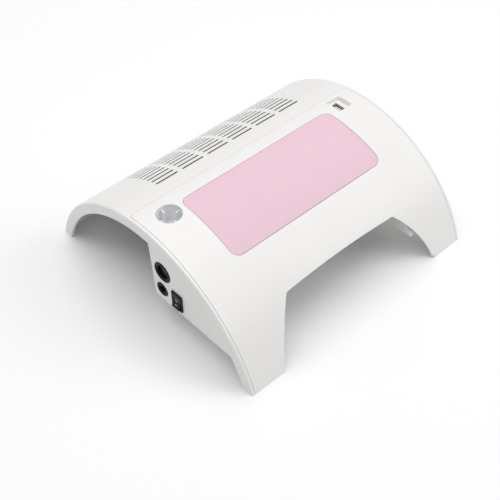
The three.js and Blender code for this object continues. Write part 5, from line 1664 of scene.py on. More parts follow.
@dataclass(frozen=True)
class HandpieceCup:
    """The round well for the handpiece, with ribs that hold it upright."""

    arch: Arch
    place: CupPlace = CupPlace()
    wall: float = 1.8
    depth: float = 22.0
    ribs: int = 4
    rib_reach: float = 5.0
    rib_thickness: float = 1.4
    rib_drop: float = 4.0
    ease: float = 0.4
    fillet: float = 1.5
    steps: int = 72

    def make(self) -> None:
        """Builds the well as one turned skin whose rim follows the arch, and the ribs in its wall."""
        place = FLAT.at(self.place.x, self.place.y)
        inner, outer = self.place.radius, self.place.radius + self.wall
        floor = self.arch.height - self.depth
        bottom, roof = floor - self.wall, self.arch.height
        path = [(0, bottom), (outer, bottom), (outer, roof), (inner, roof), (inner, floor), (0, floor)]
        radius, level = softened(path, (self.fillet, self.ease, self.ease, self.fillet)).T[:, :, None]
        way = ring(self.steps)
        y = self.place.y + radius * way[:, 1]
        drop = roof - self.arch.axis_z - np.sqrt((self.arch.inner - self.arch.gap) ** 2 - y ** 2)
        level = level - drop * smoothstep(level, floor + self.depth / 2, roof - self.ease)
        local = np.stack(np.broadcast_arrays(radius * way[:, 0], radius * way[:, 1], level), axis=-1)
        work = Patchwork().sheet(place.points(local))
        middle = inner - self.rib_reach / 2 + self.wall / 4
        rib = rounded(self.rib_reach + self.wall / 2, self.rib_thickness, self.ease, (middle, 0), 2)
        for number in range(self.ribs):
            work.prism([rib], place.spun(number / self.ribs * TURN), bottom + self.wall / 2,
                       roof - self.rib_drop, self.ease)
        # The well's white is lighter than the shell's: painted light against the shade that falls in the well.
        dress(work.build("handpiece_cup_moulding"), CUP_ABS_PAINTED_LIGHT, ["handpiece_cup"])


# The lamp port


@dataclass(frozen=True)
class LampPort:
    """The port for a small desk lamp: a plated shell and a contact tongue, off centre in it."""

    arch: Arch
    place: PortPlace = PortPlace()
    shell_size: Pair = (6.6, 13.2)
    shell_wall: float = 0.5
    shell_depth: float = 13.0
    shell_corner: float = 0.9
    tongue_size: Pair = (1.9, 11.2)
    tongue_corner: float = 0.4
    tongue_ease: float = 0.3
    tongue_setback: float = 2.2
    contacts: int = 4
    contact_pitch: float = 2.4
    contact_size: Triple = (0.12, 1.2, 8.0)

    @property
    def _shell_top(self) -> float:
        """The height of the shell's mouth."""
        return self.place.floor(self.arch) - self.shell_wall

    def make(self) -> None:
        """Builds the shell, the tongue and the contacts."""
        self._shell()
        self._tongue()
        self._contacts()

    def _shell(self) -> None:
        """Builds the shell, a folded box that is open at the top: outside, lip, inside and floor."""
        place = FLAT.at(self.place.x, self.place.y)
        wall, top, bottom = self.shell_wall, self._shell_top, self._shell_top - self.shell_depth
        outer = rounded(*self.shell_size, self.shell_corner)
        inner = moved_in(outer, wall)
        lines = [(outer, bottom), (outer, top - wall / 2), (moved_in(outer, wall / 4), top - wall / 8),
                 (moved_in(outer, wall / 2), top), (inner, top - wall / 2), (inner, bottom + wall)]
        work = Patchwork().loops(lines, place).plate([outer], place, bottom)
        work.plate([inner], place, bottom + wall)
        dress(work.build("port_shell_folded"), NICKEL_STEEL, ["port_shell"])

    def _tongue(self) -> None:
        """Builds the tongue, a thin plate with rounded edges that stands in the shell."""
        place = FLAT.at(self.place.x + self.tongue_size[0] / 2, self.place.y)
        low = self._shell_top - self.shell_depth + self.shell_wall + self.arch.gap
        plan = rounded(*self.tongue_size, self.tongue_corner)
        work = Patchwork().prism([plan], place, low, self._shell_top - self.tongue_setback, self.tongue_ease)
        dress(work.build("port_tongue_moulding"), PORT_WHITE, ["port_tongue"])

    def _contacts(self) -> None:
        """Builds the contacts, strips along the tongue on the side where the shell is open."""
        work = Patchwork()
        thickness, width, length = self.contact_size
        top = self._shell_top - self.tongue_setback - width
        strip = rounded(2 * thickness, width, thickness / 2, steps=2)
        for across in spread(self.contacts, self.contact_pitch):
            work.prism([strip], FLAT.at(self.place.x, self.place.y + across), top - length, top, thickness / 2)
        dress(work.build("port_contacts"), GOLD_FLASH)


# The control panel


@dataclass(frozen=True)
class PackedPart:
    """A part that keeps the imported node's own form, with its edges rounded."""

    node: str
    ending: str
    finish: Finish
    slot: str
    width: float = 0.35
    limit: float = math.radians(32)
    flat: float = math.radians(1)

    def make(self) -> None:
        """Copies the node's mesh, joins its loose triangles into flat faces and rounds its edges."""
        name, source = f"{self.node}_{self.ending}", frame["nodes"][self.node]
        mesh = source.data.copy()
        mesh.name = name
        mesh.transform(source.matrix_world)
        mesh.materials.clear()
        work = bmesh.new()
        work.from_mesh(mesh)
        bmesh.ops.remove_doubles(work, verts=work.verts, dist=2 * WELD * MM)
        bmesh.ops.dissolve_limit(work, angle_limit=self.flat, verts=work.verts, edges=work.edges)
        bmesh.ops.triangulate(work, faces=[face for face in work.faces if len(face.verts) > 4])
        bmesh.ops.dissolve_limit(work, angle_limit=self.flat, verts=work.verts, edges=work.edges)
        work.to_mesh(mesh)
        work.free()
        mesh.shade_smooth()
        mesh.set_sharp_from_angle(angle=self.limit)
        made = bpy.data.objects.new(name, mesh)
        bpy.context.scene.collection.objects.link(made)
        bevel = made.modifiers.new("rounded_edges", "BEVEL")
        bevel.width = self.width * MM
        bevel.segments = 2
        bevel.limit_method = "ANGLE"
        bevel.angle_limit = self.limit
        bevel.harden_normals = True
        bevel.use_clamp_overlap = True
        dress(made, self.finish, [self.node])


@dataclass(frozen=True)
class RoundInlet:
    """What the panel's two round inlets share: a flange with a dish, a mouth in it and a barrel behind."""

    y: float
    z: float
    flange_radius: float
    barrel_radius: float
    length: float
    dish: Pair
    mouth_radius: float
    mouth: float
    mouth_rounds: Series
    back_round: float
    edge_rounds: Series = (0.2, 0.25, 0.4, 0.2, 0)
    face: float = -149.6
    flange: float = 1.3
    steps: int = 72

    @property
    def _place(self) -> Frame:
        """The inlet's own frame, whose third axis runs into the housing."""
        return ACROSS.at(self.y, self.z)

    @property
    def _floor(self) -> float:
        """Where the mouth ends."""
        return self.face + self.mouth

    def _profile(self, middle: Sequence[Pair] = ()) -> Array:
        """Gives the profile from the mouth's floor round the flange to the back of the barrel.

        Args:
            middle: the points on the floor before its edge.

        Returns:
            Radius and height pairs.
        """
        radius, drop = self.dish
        face, back = self.face, self.face + self.length
        path = [*middle, (self.mouth_radius, self._floor), (self.mouth_radius, face + drop),
                (radius, face + drop), (radius, face), (self.flange_radius, face),
                (self.flange_radius, face + self.flange), (self.barrel_radius, face + self.flange),
                (self.barrel_radius, back), (0, back)]
        return softened(path, (*self.mouth_rounds, *self.edge_rounds, self.back_round))


@dataclass(frozen=True)
class HandpieceSocket(RoundInlet):
    """The round socket for the handpiece's plug, with five contact holes on a circle."""

    y: float = -25.6
    z: float = 70.4
    flange_radius: float = 11.2
    barrel_radius: float = 9.2
    length: float = 22.0
    dish: Pair = (9.4, 0.6)
    mouth_radius: float = 7.6
    mouth: float = 4.6
    mouth_rounds: Series = (0.4,)
    back_round: float = 0.6
    contacts: int = 5
    contact_radius: float = 1.1
    contact_circle: float = 4.6
    contact_depth: float = 4.0
    contact_steps: int = 18
    carrier: float = 0.3

    def make(self) -> None:
        """Builds the socket and the grey disc in it."""
        self._socket()
        self._carrier()

    def _socket(self) -> None:
        """Builds the socket: flange, dish, mouth and barrel in one turned skin, and the contact holes."""
        work = Patchwork().turned(self._profile(), self._place, self.steps)
        end = self._floor + self.contact_depth
        hole = np.array([(self.contact_radius, self._floor), (self.contact_radius, end), (0, end)])
        for middle in self._middles():
            work.turned(hole, self._place.at(*middle), self.contact_steps)
        loops = [circle(self.mouth_radius, self.steps), *self._holes(self.contact_radius)]
        work.plate(loops, self._place, self._floor)
        dress(work.build("handpiece_socket_moulding"), BLACK_NYLON, ["handpiece_socket"])

    def _carrier(self) -> None:
        """Builds the thin grey disc at the bottom of the mouth that the contact holes go through."""
        loops = [circle(self.mouth_radius - self.carrier, self.steps),
                 *self._holes(self.contact_radius - self.carrier)]
        work = Patchwork().prism(loops, self._place, self._floor - self.carrier, self._floor + EMBED,
                                 self.carrier / 3)
        dress(work.build("handpiece_socket_carrier"), CARRIER_GREY)

    def _middles(self) -> Array:
        """Gives the middles of the contact holes, an eighth of a turn apart."""
        angles = spread(self.contacts, TURN / 8)
        return self.contact_circle * pairs(np.sin(angles), np.cos(angles))

    def _holes(self, radius: float) -> list[Array]:
        """Gives the contact holes' outlines."""
        return [circle(radius, self.contact_steps, middle) for middle in self._middles()]


@dataclass(frozen=True)
class PowerJack(RoundInlet):
    """The small round jack under it, with a plated pin in the middle of its mouth."""

    y: float = -23.0
    z: float = 45.0
    flange_radius: float = 7.8
    barrel_radius: float = 5.8
    length: float = 16.0
    dish: Pair = (5.6, 0.7)
    mouth_radius: float = 3.9
    mouth: float = 12.0
    mouth_rounds: Series = (0.4, 0.5)
    back_round: float = 0.5
    steps: int = 60
    pin_radius: float = 1.1
    pin_tip_share: float = 0.7
    pin_setback: float = 4.6
    pin_steps: int = 24

    def make(self) -> None:
        """Builds the jack's body as one turned skin, and the pin, a turned rod with a round tip."""
        profile = self._profile([(0, self._floor)])
        jack = Patchwork().turned(profile, self._place, self.steps).build("dc_jack_moulding")
        dress(jack, BLACK_NYLON, ["dc_jack"])
        tip, foot = self.face + self.pin_setback, self._floor + EMBED
        path = [(0, tip), (self.pin_radius, tip), (self.pin_radius, foot), (0, foot)]
        rod = softened(path, (self.pin_tip_share * self.pin_radius, 0))
        pin = Patchwork().turned(rod, self._place, self.pin_steps).build("dc_jack_pin")
        dress(pin, NICKEL_STEEL)


@dataclass(frozen=True)
class PowerSwitch:
    """The rocker switch: a bezel in the panel, a box behind it and a rocker that tips about a pin."""

    y: float = -46.0
    z: float = 46.5
    front: float = -150.7
    bezel_size: Pair = (15.0, 21.0)
    bezel: float = 1.4
    corner: float = 1.0
    body_size: Pair = (13.0, 19.4)
    length: float = 17.0
    cavity_size: Pair = (11.6, 18.2)
    cavity: float = 8.0
    ease: float = 0.45
    pivot_x: float = -148.6
    rocker_half_width: float = 5.5
    rocker_half: float = 8.3
    rocker_face: float = 2.1
    rocker_end: float = 3.2
    rocker_back: float = 3.6
    rocker_ease: float = 0.5
    rocker_side_ease: float = 0.35
    rocker_steps: int = 25
    dish_power: float = 1.5
    pin_radius: float = 1.0
    pin_reach: float = 0.2
    pin_steps: int = 24
    pin_ease: float = 0.1
    tilt: float = 9.0
    terminals: int = 3
    terminal_size: Pair = (4.8, 0.8)
    terminal_ease: float = 0.2
    terminal_length: float = 6.0
    terminal_pitch: float = 6.5
    mark_height: float = 0.06
    ring_radii: Pair = (1.5, 1.1)
    ring_steps: int = 40
    ring_z: float = 1.5
    bar_size: Pair = (3.4, 0.75)
    bar_z: float = -4.0

    def make(self) -> None:
        """Builds the switch's body, its terminals, the rocker and the marks printed on it."""
        self._body()
        self._terminals()
        self._rocker()
        self._marks()

    def _body(self) -> None:
        """Builds the bezel and the box: outside, rounded front and the cavity that the rocker tips in."""
        place = ACROSS.at(self.y, self.z)
        outer, body = rounded(*self.bezel_size, self.corner), rounded(*self.body_size, self.corner / 2)
        cavity = rounded(*self.cavity_size, self.corner / 2)
        back, floor, rim = self.front + self.length, self.front + self.cavity, self.front + self.bezel
        turn = quarter(self.ease)
        lines = [(body, back), (body, rim), (outer, rim)]
        lines += [(moved_in(outer, inset), self.front + drop) for drop, inset in turn]
        lines += [(moved_in(cavity, -inset), self.front + drop) for drop, inset in turn[::-1]]
        work = Patchwork().loops([*lines, (cavity, floor)], place)
        work.plate([body], place, back).plate([cavity], place, floor)
        dress(work.build("switch_body_moulding"), BLACK_NYLON, ["switch_body"])

    def _terminals(self) -> None:
        """Builds the three flat terminals behind the box."""
        work = Patchwork()
        back = self.front + self.length
        blade = rounded(*self.terminal_size, self.terminal_ease, steps=2)
        for across in spread(self.terminals, self.terminal_pitch):
            work.prism([blade], ACROSS.at(self.y, self.z + across), back - EMBED,
                       back + self.terminal_length, self.terminal_ease)
        dress(work.build("switch_terminals"), NICKEL_STEEL)

    @property
    def _pivot(self) -> Frame:
        """A frame at the rocker's pin: along X, up and towards the front, tipped as it is at rest."""
        angle = math.radians(self.tilt)
        cosine, sine = math.cos(angle), math.sin(angle)
        return Frame((self.pivot_x, self.y, self.z), ((cosine, 0, -sine), (sine, 0, cosine), (0, -1, 0)))

    def _face(self, z: Array) -> Array:
        """Gives how far the rocker's face stands out: least at the pin, and more by a power of the height."""
        share = np.abs(z) / self.rocker_half
        return -self.rocker_face - (self.rocker_end - self.rocker_face) * share ** self.dish_power

    def _rocker(self) -> None:
        """Builds the rocker, its dished profile carried along the pin, and the pin's two ends."""
        ends, half = self.rocker_half - self.rocker_ease, self.rocker_half_width
        z = np.linspace(ends, -ends, self.rocker_steps)
        top = np.array([self._face(ends), self.rocker_half]) + quarter(self.rocker_ease) * [1, -1]
        loop = np.concatenate([[(self.rocker_back, -self.rocker_half), (self.rocker_back, self.rocker_half)],
                               top, pairs(self._face(z), z)[1:-1], (top * [1, -1])[::-1]])
        work = Patchwork().prism([loop], self._pivot, -half, half, self.rocker_side_ease)
        for side in (-1, 1):
            low, high = sorted((side * (half - EMBED), side * (half + self.pin_reach)))
            work.prism([circle(self.pin_radius, self.pin_steps)], self._pivot, low, high, self.pin_ease)
        dress(work.build("switch_rocker_moulding"), ROCKER_NYLON, ["switch_rocker"], "rocker")

    def _marks(self) -> None:
        """Builds the printed ring and bar, thin films that follow the rocker's face."""
        work = Patchwork()
        under, over = EMBED / 2, -self.mark_height
        way = ring(self.ring_steps)[:, ::-1]
        outer, inner = (np.array([0, self.ring_z]) + radius * way for radius in self.ring_radii)
        self._film(work, [(outer, under), (outer, over), (inner, over), (inner, under), (outer, under)])
        bar = closed(rounded(*self.bar_size, self.bar_size[1] / 2 - TINY, (0, self.bar_z)))
        middle = np.broadcast_to([0, self.bar_z], bar.shape)
        self._film(work, [(middle, under), (bar, under), (bar, over), (middle, over)])
        dress(work.build("switch_marks"), MARK_WHITE, body="rocker")

    def _film(self, work: Patchwork, lines: Sequence[tuple[Array, float]]) -> None:
        """Adds the surface through lines on the rocker's face, each with its depth under the face."""
        work.rows([self._pivot.points(np.column_stack([self._face(line[:, 1]) + depth, line[:, ::-1]]))
                   for line, depth in lines])


# The fan bay


@dataclass(frozen=True)
class AxialFan:
    """A square fan that hangs under the duct's shelf: a frame, four spokes, a motor and a seven-blade rotor."""

    arch: Arch
    side: int
    spread: float = 48.975
    bottom: float = 113.47
    thickness: float = 25.0
    size: float = 92.0
    corner: float = 4.0
    bore: float = 43.5
    barrel_wall: float = 1.7
    flange: float = 4.0
    flange_ease: float = 0.5
    barrel_ease: float = 0.6
    screw_spread: float = 41.25
    pillar: float = 3.6
    pillar_steps: int = 28
    spokes: int = 4
    spoke_width: float = 4.0
    spoke_corner: float = 1.2
    spoke_ease: float = 0.8
    base: float = 3.0
    label_radius: float = 14.0
    label_depth: float = 0.4
    coil_radius: float = 13.0
    coil: float = 9.0
    running_gap: float = 1.0
    hub_radius: float = 17.0
    hub_wall: float = 1.6
    hub_height: float = 17.0
    shaft_radius: float = 1.5
    base_rounds: Series = (0, 0.2, 0.8, 0.4, 0, 0.6, 0.2, 0)
    hub_rounds: Series = (0.3, 0.3, 0.8, 0.2, 0.3, 2.0)
    blades: int = 7
    blade_tip: float = 42.4
    blade_rows: int = 15
    blade_columns: int = 17
    chords: Pair = (18.0, 25.0)
    pitches: Pair = (42.0, 31.0)
    camber: float = 2.6
    blade_thickness: float = 1.5
    sweep: float = 0.2
    steps: int = 72

    @property
    def _place(self) -> Frame:
        """The fan's own frame, whose third axis is its shaft."""
        return self.arch.leaning(BAY_LEAN).at(self.side * self.spread, 0)

    def make(self) -> None:
        """Builds the frame and the rotor."""
        side = "left" if self.side < 0 else "right"
        fixed, moving = f"fan_frame_{side}", f"fan_rotor_{side}"
        dress(self._frame().build(f"{fixed}_moulding"), BLACK_NYLON, [fixed])
        dress(self._rotor().build(f"{moving}_moulding"), BLACK_NYLON, [moving], f"rotor_{side}")

    def _frame(self) -> Patchwork:
        """Draws two square flanges on a round barrel, with pillars, spokes and the motor's base.

        Returns:
            The patches.
        """
        place, low, high = self._place, self.bottom, self.bottom + self.thickness
        work = Patchwork()
        corners = [(x, y) for x in (-self.screw_spread, self.screw_spread)
                   for y in (-self.screw_spread, self.screw_spread)]
        holes = [circle(BORE_RADIUS, BOSS_STEPS, corner) for corner in corners]
        opening = circle(self.bore + self.barrel_wall / 2, self.steps)
        flange = [rounded(self.size, self.size, self.corner), opening, *holes]
        for level in (low, high - self.flange):
            work.prism(flange, place, level, level + self.flange, self.flange_ease)
        barrel = [circle(self.bore + self.barrel_wall, self.steps), circle(self.bore, self.steps)]
        work.prism(barrel, place, low + EMBED / 2, high - EMBED / 2, self.barrel_ease)
        for corner, hole in zip(corners, holes):
            tube = [circle(self.pillar, self.pillar_steps, corner), hole]
            work.prism(tube, place, low + self.flange - EMBED, high - self.flange + EMBED)
        reach = self.bore + self.barrel_wall / 2 - self.label_radius
        spoke = rounded(reach, self.spoke_width, self.spoke_corner, (self.label_radius + reach / 2, 0))
        for number in range(self.spokes):
            turn = (number + 0.5) / self.spokes * TURN
            work.prism([spoke], place.spun(turn), low, low + self.base - EMBED / 2, self.spoke_ease)
        label, base = low + self.label_depth, low + self.base
        coil = base + self.running_gap + self.coil
        seat, socket = low + self.base / 2, self.shaft_radius + self.arch.gap
        path = [(0, label), (self.label_radius, label), (self.label_radius, low), (self.hub_radius, low),
                (self.hub_radius, base), (self.coil_radius, base), (self.coil_radius, coil), (socket, coil),
                (socket, seat), (0, seat)]
        return work.turned(softened(path, self.base_rounds), place, self.steps)

    def _rotor(self) -> Patchwork:
        """Draws a cup-shaped hub on its shaft, and blades that are twisted and cambered.

        Returns:
            The patches.
        """
        low = self.bottom + self.base + self.running_gap
        high, inside = low + self.hub_height, self.hub_radius - self.hub_wall
        end = self.bottom + self.base / 2 + self.arch.gap
        path = [(0, end), (self.shaft_radius, end), (self.shaft_radius, high - self.hub_wall),
                (inside, high - self.hub_wall), (inside, low), (self.hub_radius, low), (self.hub_radius, high),
                (0, high)]
        work = Patchwork().turned(softened(path, self.hub_rounds), self._place, self.steps)
        for number in range(self.blades):
            self._blade(work, self._place.spun(number / self.blades * TURN), low + self.hub_height / 2)
        return work

    def _blade(self, work: Patchwork, place: Frame, middle: float) -> None:
        """Adds one blade, whose sections lie on cylinders about the shaft.

        From the hub to the tip the chord grows and the pitch falls evenly. In a section, with u from -1 to 1
        along the chord, the middle line rises by the camber times (1 - u squared), and half the thickness is
        the blade's own times the root of (1 - u to the fourth). The distance along the cylinder over its
        radius is the angle, which also runs ahead by the sweep times the share of the way out, squared.

        Args:
            work: the patches.
            place: the fan's frame, turned to the blade.
            middle: the level of the blade's middle.
        """
        share = np.linspace(0, 1, self.blade_rows)[:, None]
        root = self.hub_radius - self.hub_wall / 2
        radius = root + share * (self.blade_tip - root)
        chord = self.chords[0] + share * (self.chords[1] - self.chords[0])
        pitch = np.radians(self.pitches[0] + share * (self.pitches[1] - self.pitches[0]))
        u = -np.cos(np.linspace(0, math.pi, self.blade_columns))
        half = self.blade_thickness / 2 * np.sqrt(np.maximum(1 - u ** 4, 0))
        along, sides = u * chord / 2, []
        for sign in (1, -1):
            rise = self.camber * (1 - u ** 2) + sign * half
            angle = (along * np.cos(pitch) - rise * np.sin(pitch)) / radius + self.sweep * share ** 2
            level = middle + along * np.sin(pitch) + rise * np.cos(pitch) - self.camber / 2
            local = np.stack([radius * np.cos(angle), radius * np.sin(angle), level], axis=-1)
            sides.append(place.points(local))
            work.sheet(sides[-1])
        for end in (0, -1):
            work.rows([sides[0][end], sides[1][end]])


@dataclass(frozen=True)
class DustFilter:
    """The felt mat on the duct's shelf, cut from the roll, with soft edges."""

    arch: Arch
    half: Pair = (97.65, 46.9)
    corner: float = 1.5
    low: float = 141.07
    high: float = 144.0
    edge: float = 0.9
    edge_steps: int = 9
    waviness: float = 0.14
    waves: Pair = (7.5, 6.0)
    steps: tuple[Pair, ...] = ((0.5, 3.0), (0.5, 3.0))

    def make(self) -> None:
        """Builds the mat as one skin with a rounded side."""
        rings = [(self.edge * (math.cos(a) - 1), self.low + (self.high - self.low) * (1 + math.sin(a)) / 2)
                 for a in np.linspace(-QUARTER, QUARTER, self.edge_steps)]
        work = cushioned(self.half, self.corner, self.steps, rings, self._placed)
        dress(work.build("dust_filter_mat"), FILTER_FELT, ["dust_filter"])

    def _placed(self, line: Array, level: float) -> Array:
        """Puts points in the bay. The mat's top dips by the waviness times a product of two sines.

        Args:
            line: points of the mat's plan.
            level: their height in the bay.

        Returns:
            The points in the object's frame.
        """
        share = (level - self.low) / (self.high - self.low)
        waves = np.sin(line[..., 0] / self.waves[0]) * np.sin(line[..., 1] / self.waves[1])
        level = level - share * self.waviness * (1 + waves)
        return self.arch.leaning(BAY_LEAN).points(np.concatenate([line, level[..., None]], axis=-1))


# The lamp and the boards


@dataclass(frozen=True)
class LedBoard:
    """The white board over the hand, whose round lamp beads reach down through the tray."""

    arch: Arch
    size: Pair = (130.0, 54.0)
    corner: float = 1.0
    ease: float = 0.12
    low: float = 140.07
    thickness: float = 1.6
    columns: int = 6
    rows: int = 2
    pitch: Pair = (21.0, 24.0)
    bead_radius: float = 2.6
    bead_steps: tuple[int, int] = (9, 32)
    tray_floor: float = 134.77
    dome: float = 2.0

    def make(self) -> None:
        """Builds the board, a plate with routed edges, and the beads, each turned from a dome and a stem."""
        place = self.arch.leaning(LAMP_LEAN)
        plan = rounded(*self.size, self.corner)
        plate = Patchwork().prism([plan], place, self.low, self.low + self.thickness, self.ease)
        dress(plate.build("led_board_plate"), LED_BOARD_WHITE, ["led_board"])
        angle = np.linspace(0, QUARTER, self.bead_steps[0])
        dome = pairs(self.bead_radius * np.sin(angle), self.tray_floor - self.dome * np.cos(angle))
        foot = self.low + EMBED
        profile = np.concatenate([dome, [(self.bead_radius, foot), (0, foot)]])
        beads = Patchwork()
        for x in spread(self.columns, self.pitch[0]):
            for y in spread(self.rows, self.pitch[1]):
                beads.turned(profile, place.at(x, y), self.bead_steps[1])
        dress(beads.build("led_beads"), LED_SILICONE)


@dataclass(frozen=True)
class CircuitBoard:
    """A board in a housing, with its components.

    A component is its place, its plan and its height, as shares of the board's width, length, width, length
    and width.
    """

    name: str
    x: float
    parts: tuple[Series, ...]
    y: float = -60.0
    width: float = 28.0
    length: float = 58.0
    low: float = 37.4
    thickness: float = 1.6
    corner: float = 0.8
    ease: float = 0.1
    case_ease: float = 0.5

    def make(self) -> None:
        """Builds the board, and its components as moulded cases with rounded edges."""
        place = FLAT.at(self.x, self.y, self.low)
        plate = Patchwork().prism([rounded(self.width, self.length, self.corner)], place, 0, self.thickness,
                                  self.ease)
        dress(plate.build(f"{self.name}_plate"), BOARD_GREEN, [self.name])
        cases = Patchwork()
        for x, y, width, length, height in self.parts:
            case = rounded(width * self.width, length * self.length, self.corner,
                           (x * self.width, y * self.length))
            cases.prism([case], place, self.thickness - EMBED, self.thickness + height * self.width,
                        self.case_ease)
        dress(cases.build(f"{self.name}_parts"), BLACK_NYLON)


POWER_BOARD = CircuitBoard("power_board", -111.0, (
    (-0.2, 0.3, 0.45, 0.16, 0.45), (0.2, 0.08, 0.3, 0.14, 0.7),
    (-0.25, -0.12, 0.3, 0.2, 0.3), (0.12, -0.3, 0.6, 0.1, 0.55)))
DRIVER_BOARD = CircuitBoard("lamp_driver_board", 111.0, (
    (0.1, 0.28, 0.6, 0.18, 0.4), (-0.22, 0, 0.28, 0.14, 0.6),
    (0.2, -0.06, 0.32, 0.12, 0.25), (0, -0.3, 0.5, 0.14, 0.35)))


# Screws


@dataclass(frozen=True)
class Screw:
    """A self-tapping screw with a low domed head and a cross recess, driven from below."""

    node: str
    lean: Frame
    shank: float = 1.4
    edge: float = 0.5
    rise: float = 0.35
    recess: float = 1.1
    arm_width: float = 0.45
    arm_reach: float = 1.55
    arm_sides: Pair = (0.7, 1.3)
    arm_ends: Pair = (0.25, 0.15)
    rings: int = 12
    ring_reach: float = 0.3
    taper: float = 1.2
    rounds: Series = (0.45, 0.15, 0.1, 0.3)
    round_steps: int = 3
    sides: int = 40

    @classmethod
    def packed(cls, arch: Arch) -> list["Screw"]:
        """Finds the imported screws.

        Args:
            arch: the arch.

        Returns:
            A screw for each, with the frame of the bay that it is driven in.
        """
        bays = {"fan": arch.leaning(BAY_LEAN), "duct": arch.leaning(BAY_LEAN), "lamp": arch.leaning(LAMP_LEAN)}
        nodes = sorted(node for node in frame["nodes"] if "_screw" in node)
        return [cls(node, bays.get(node.split("_screw")[0], FLAT)) for node in nodes]

    def make(self) -> None:
        """Builds the screw as one skin whose rows are rings about its axis, from the head to the tip.

        On the head, the height falls by the rise times the square of the radius's share. Inside the cross it
        also falls by the recess: the cross is where the smaller of |x| and |y| is under the arm's half width
        and the larger is under its reach.
        """
        low, high = self._span()
        middle = (low + high) / 2
        first, second, third = np.array(self.lean.axes)
        bearing = self.lean.points(np.array([middle[0], middle[1], low[2] + SCREW_HEAD]))
        place = Frame(tuple(bearing), (tuple(first), tuple(-second), tuple(-third)))
        length, dome = high[2] - low[2] - SCREW_HEAD, SCREW_HEAD_RADIUS - self.edge
        radii = np.append(np.linspace(0, self.arm_reach + self.ring_reach, self.rings), dome)
        shoulder = SCREW_HEAD - self.rise
        path = [(dome, shoulder), (SCREW_HEAD_RADIUS, shoulder), (SCREW_HEAD_RADIUS, 0), (self.shank, 0),
                (self.shank, self.taper - length), (0, -length)]
        side = softened(path, self.rounds, self.round_steps)[1:]
        radius = np.concatenate([radii, side[:, 0]])[:, None]
        height = np.concatenate([SCREW_HEAD - self.rise * (radii / dome) ** 2, side[:, 1]])[:, None]
        x, y = np.moveaxis(radius[..., None] * ring(self.sides), -1, 0)
        near, far = np.minimum(np.abs(x), np.abs(y)), np.maximum(np.abs(x), np.abs(y))
        inner, outer = self.arm_ends
        across = 1 - smoothstep(near, *(share * self.arm_width for share in self.arm_sides))
        along = 1 - smoothstep(far, self.arm_reach - inner, self.arm_reach + outer)
        cross = across * along * (height > SCREW_HEAD / 2)
        work = Patchwork().sheet(place.points(np.stack([x, y, height - self.recess * cross], axis=-1)))
        dress(work.build(f"{self.node}_plated"), NICKEL_STEEL, [self.node])

    def _span(self) -> tuple[Array, Array]:
        """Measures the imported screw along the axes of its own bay.

        Returns:
            Its lowest and its highest corner.
        """
        source = frame["nodes"][self.node]
        turn = np.array(source.matrix_world)
        world = (read(source.data.vertices, "co", 3) @ turn[:3, :3].T + turn[:3, 3]) / MM
        local = (world - np.array(self.lean.origin)) @ np.array(self.lean.axes).T
        return local.min(axis=0), local.max(axis=0)


# The studio and the whole machine


@dataclass(frozen=True)
class SoftLight:
    """A square soft light that faces a target. Its places and size are millimetres, its power watts."""

    name: str
    place: Triple
    target: Triple
    size: float
    power: float

    def build(self) -> None:
        """Adds the light to the scene."""
        lamp = bpy.data.lights.new(self.name, "AREA")
        lamp.size = self.size * MM
        lamp.energy = self.power
        made = bpy.data.objects.new(self.name, lamp)
        turn = (Vector(self.target) - Vector(self.place)).to_track_quat("-Z", "Y").to_matrix().to_4x4()
        made.matrix_world = Matrix.Translation(Vector(self.place) * MM) @ turn
        bpy.context.scene.collection.objects.link(made)


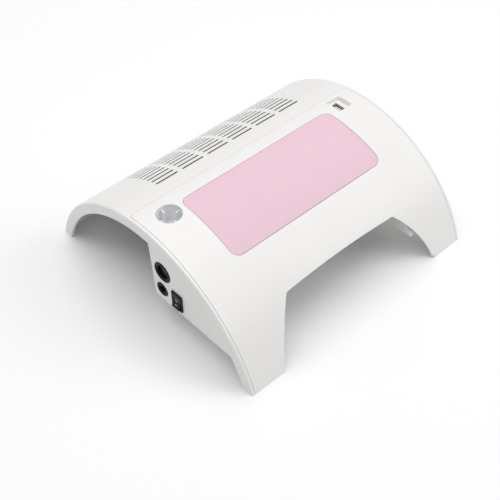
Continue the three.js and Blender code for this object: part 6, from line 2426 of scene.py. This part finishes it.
@dataclass(frozen=True)
class Studio:
    """The floor, the lights and the camera, which aren't part of the machine."""

    floor_size: float = 9000.0
    camera_place: Triple = (-496.3, -537.2, 727.4)
    camera_angles: Triple = (41.85, 45.75, -1.1)
    lens: float = 68.98
    film: float = 36.0
    clip: Pair = (0.01, 50.0)
    world_strength: float = 0.34
    lights: tuple[SoftLight, ...] = (
        SoftLight("overhead", (-50.0, 350.0, 2200.0), (0, 0, 0), 2600.0, 41.0),
        SoftLight("front_right", (1500.0, -1500.0, 1500.0), (0, 0, 50), 1600.0, 17.0))

    def make(self) -> None:
        """Builds the whole studio."""
        bpy.context.scene.view_settings.view_transform = "Standard"
        self._floor()
        self._world()
        for light in self.lights:
            light.build()
        self._camera()

    def _floor(self) -> None:
        """Builds the floor, one flat face under the machine."""
        edge = np.array([-self.floor_size / 2, self.floor_size / 2])
        corners = np.stack([*np.meshgrid(edge, edge), np.zeros((2, 2))], axis=-1)
        floor = Patchwork().sheet(corners).build("floor")
        floor.data.materials.append(STUDIO_PAPER.material())

    def _world(self) -> None:
        """Gives the room an even white glow."""
        world = bpy.data.worlds.new("studio_room")
        world.use_nodes = True
        tree = world.node_tree
        tree.nodes.clear()
        glow = add_node(tree, "ShaderNodeBackground", {"Color": linear("FFFFFF"),
                                                       "Strength": self.world_strength})
        add_node(tree, "ShaderNodeOutputWorld", {"Surface": glow.outputs["Background"]})
        bpy.context.scene.world = world

    def _camera(self) -> None:
        """Sets the camera where the photograph was taken from, as fitted to the arch's edges."""
        scene = bpy.context.scene
        yaw, pitch, roll = np.radians(self.camera_angles).tolist()
        ahead = Vector((math.sin(yaw) * math.cos(pitch), math.cos(yaw) * math.cos(pitch), -math.sin(pitch)))
        right = Vector((math.cos(yaw), -math.sin(yaw), 0.0))
        up = right.cross(ahead)
        right, up = (math.cos(roll) * right + math.sin(roll) * up, math.cos(roll) * up - math.sin(roll) * right)
        lens = bpy.data.cameras.new("photo_camera")
        lens.lens, lens.sensor_width = self.lens, self.film
        lens.clip_start, lens.clip_end = self.clip
        made = bpy.data.objects.new("photo_camera", lens)
        turned = Matrix((right, up, -ahead)).transposed().to_4x4()
        made.matrix_world = Matrix.Translation(Vector(self.camera_place) * MM) @ turned
        scene.collection.objects.link(made)
        scene.camera = made


def main() -> None:
    """Builds the machine's pieces in order, then the studio."""
    logging.basicConfig(level=logging.INFO, format="%(name)s: %(message)s")
    arch = Arch.from_frame()
    parts = [
        MainShell(arch), FrontCover(arch), HandRestPad(arch), HandpieceCup(arch), LampPort(arch),
        PackedPart("left_housing", "moulding", WHITE_ABS, "white_abs"),
        PackedPart("right_housing", "moulding", WHITE_ABS, "white_abs"),
        HandpieceSocket(), PowerJack(),
        PackedPart("handpiece_socket_nut", "turned", NICKEL_STEEL, "plated_steel", 0.3),
        PackedPart("dc_jack_nut", "turned", NICKEL_STEEL, "plated_steel", 0.3),
        PowerSwitch(),
        PackedPart("port_board", "plate", BOARD_GREEN, "board_green", 0.1),
        PackedPart("port_cap", "moulding", WHITE_ABS, "white_abs", 0.3),
        PackedPart("fan_duct", "moulding", GREY_ABS, "grey_abs"),
        PackedPart("lamp_reflector", "moulding", LAMP_WHITE, "lamp_white"),
        DustFilter(arch), AxialFan(arch, -1), AxialFan(arch, 1), LedBoard(arch), POWER_BOARD, DRIVER_BOARD,
        *Screw.packed(arch), Studio(),
    ]
    for part in parts:
        part.make()


if __name__ == "__main__":
    main()
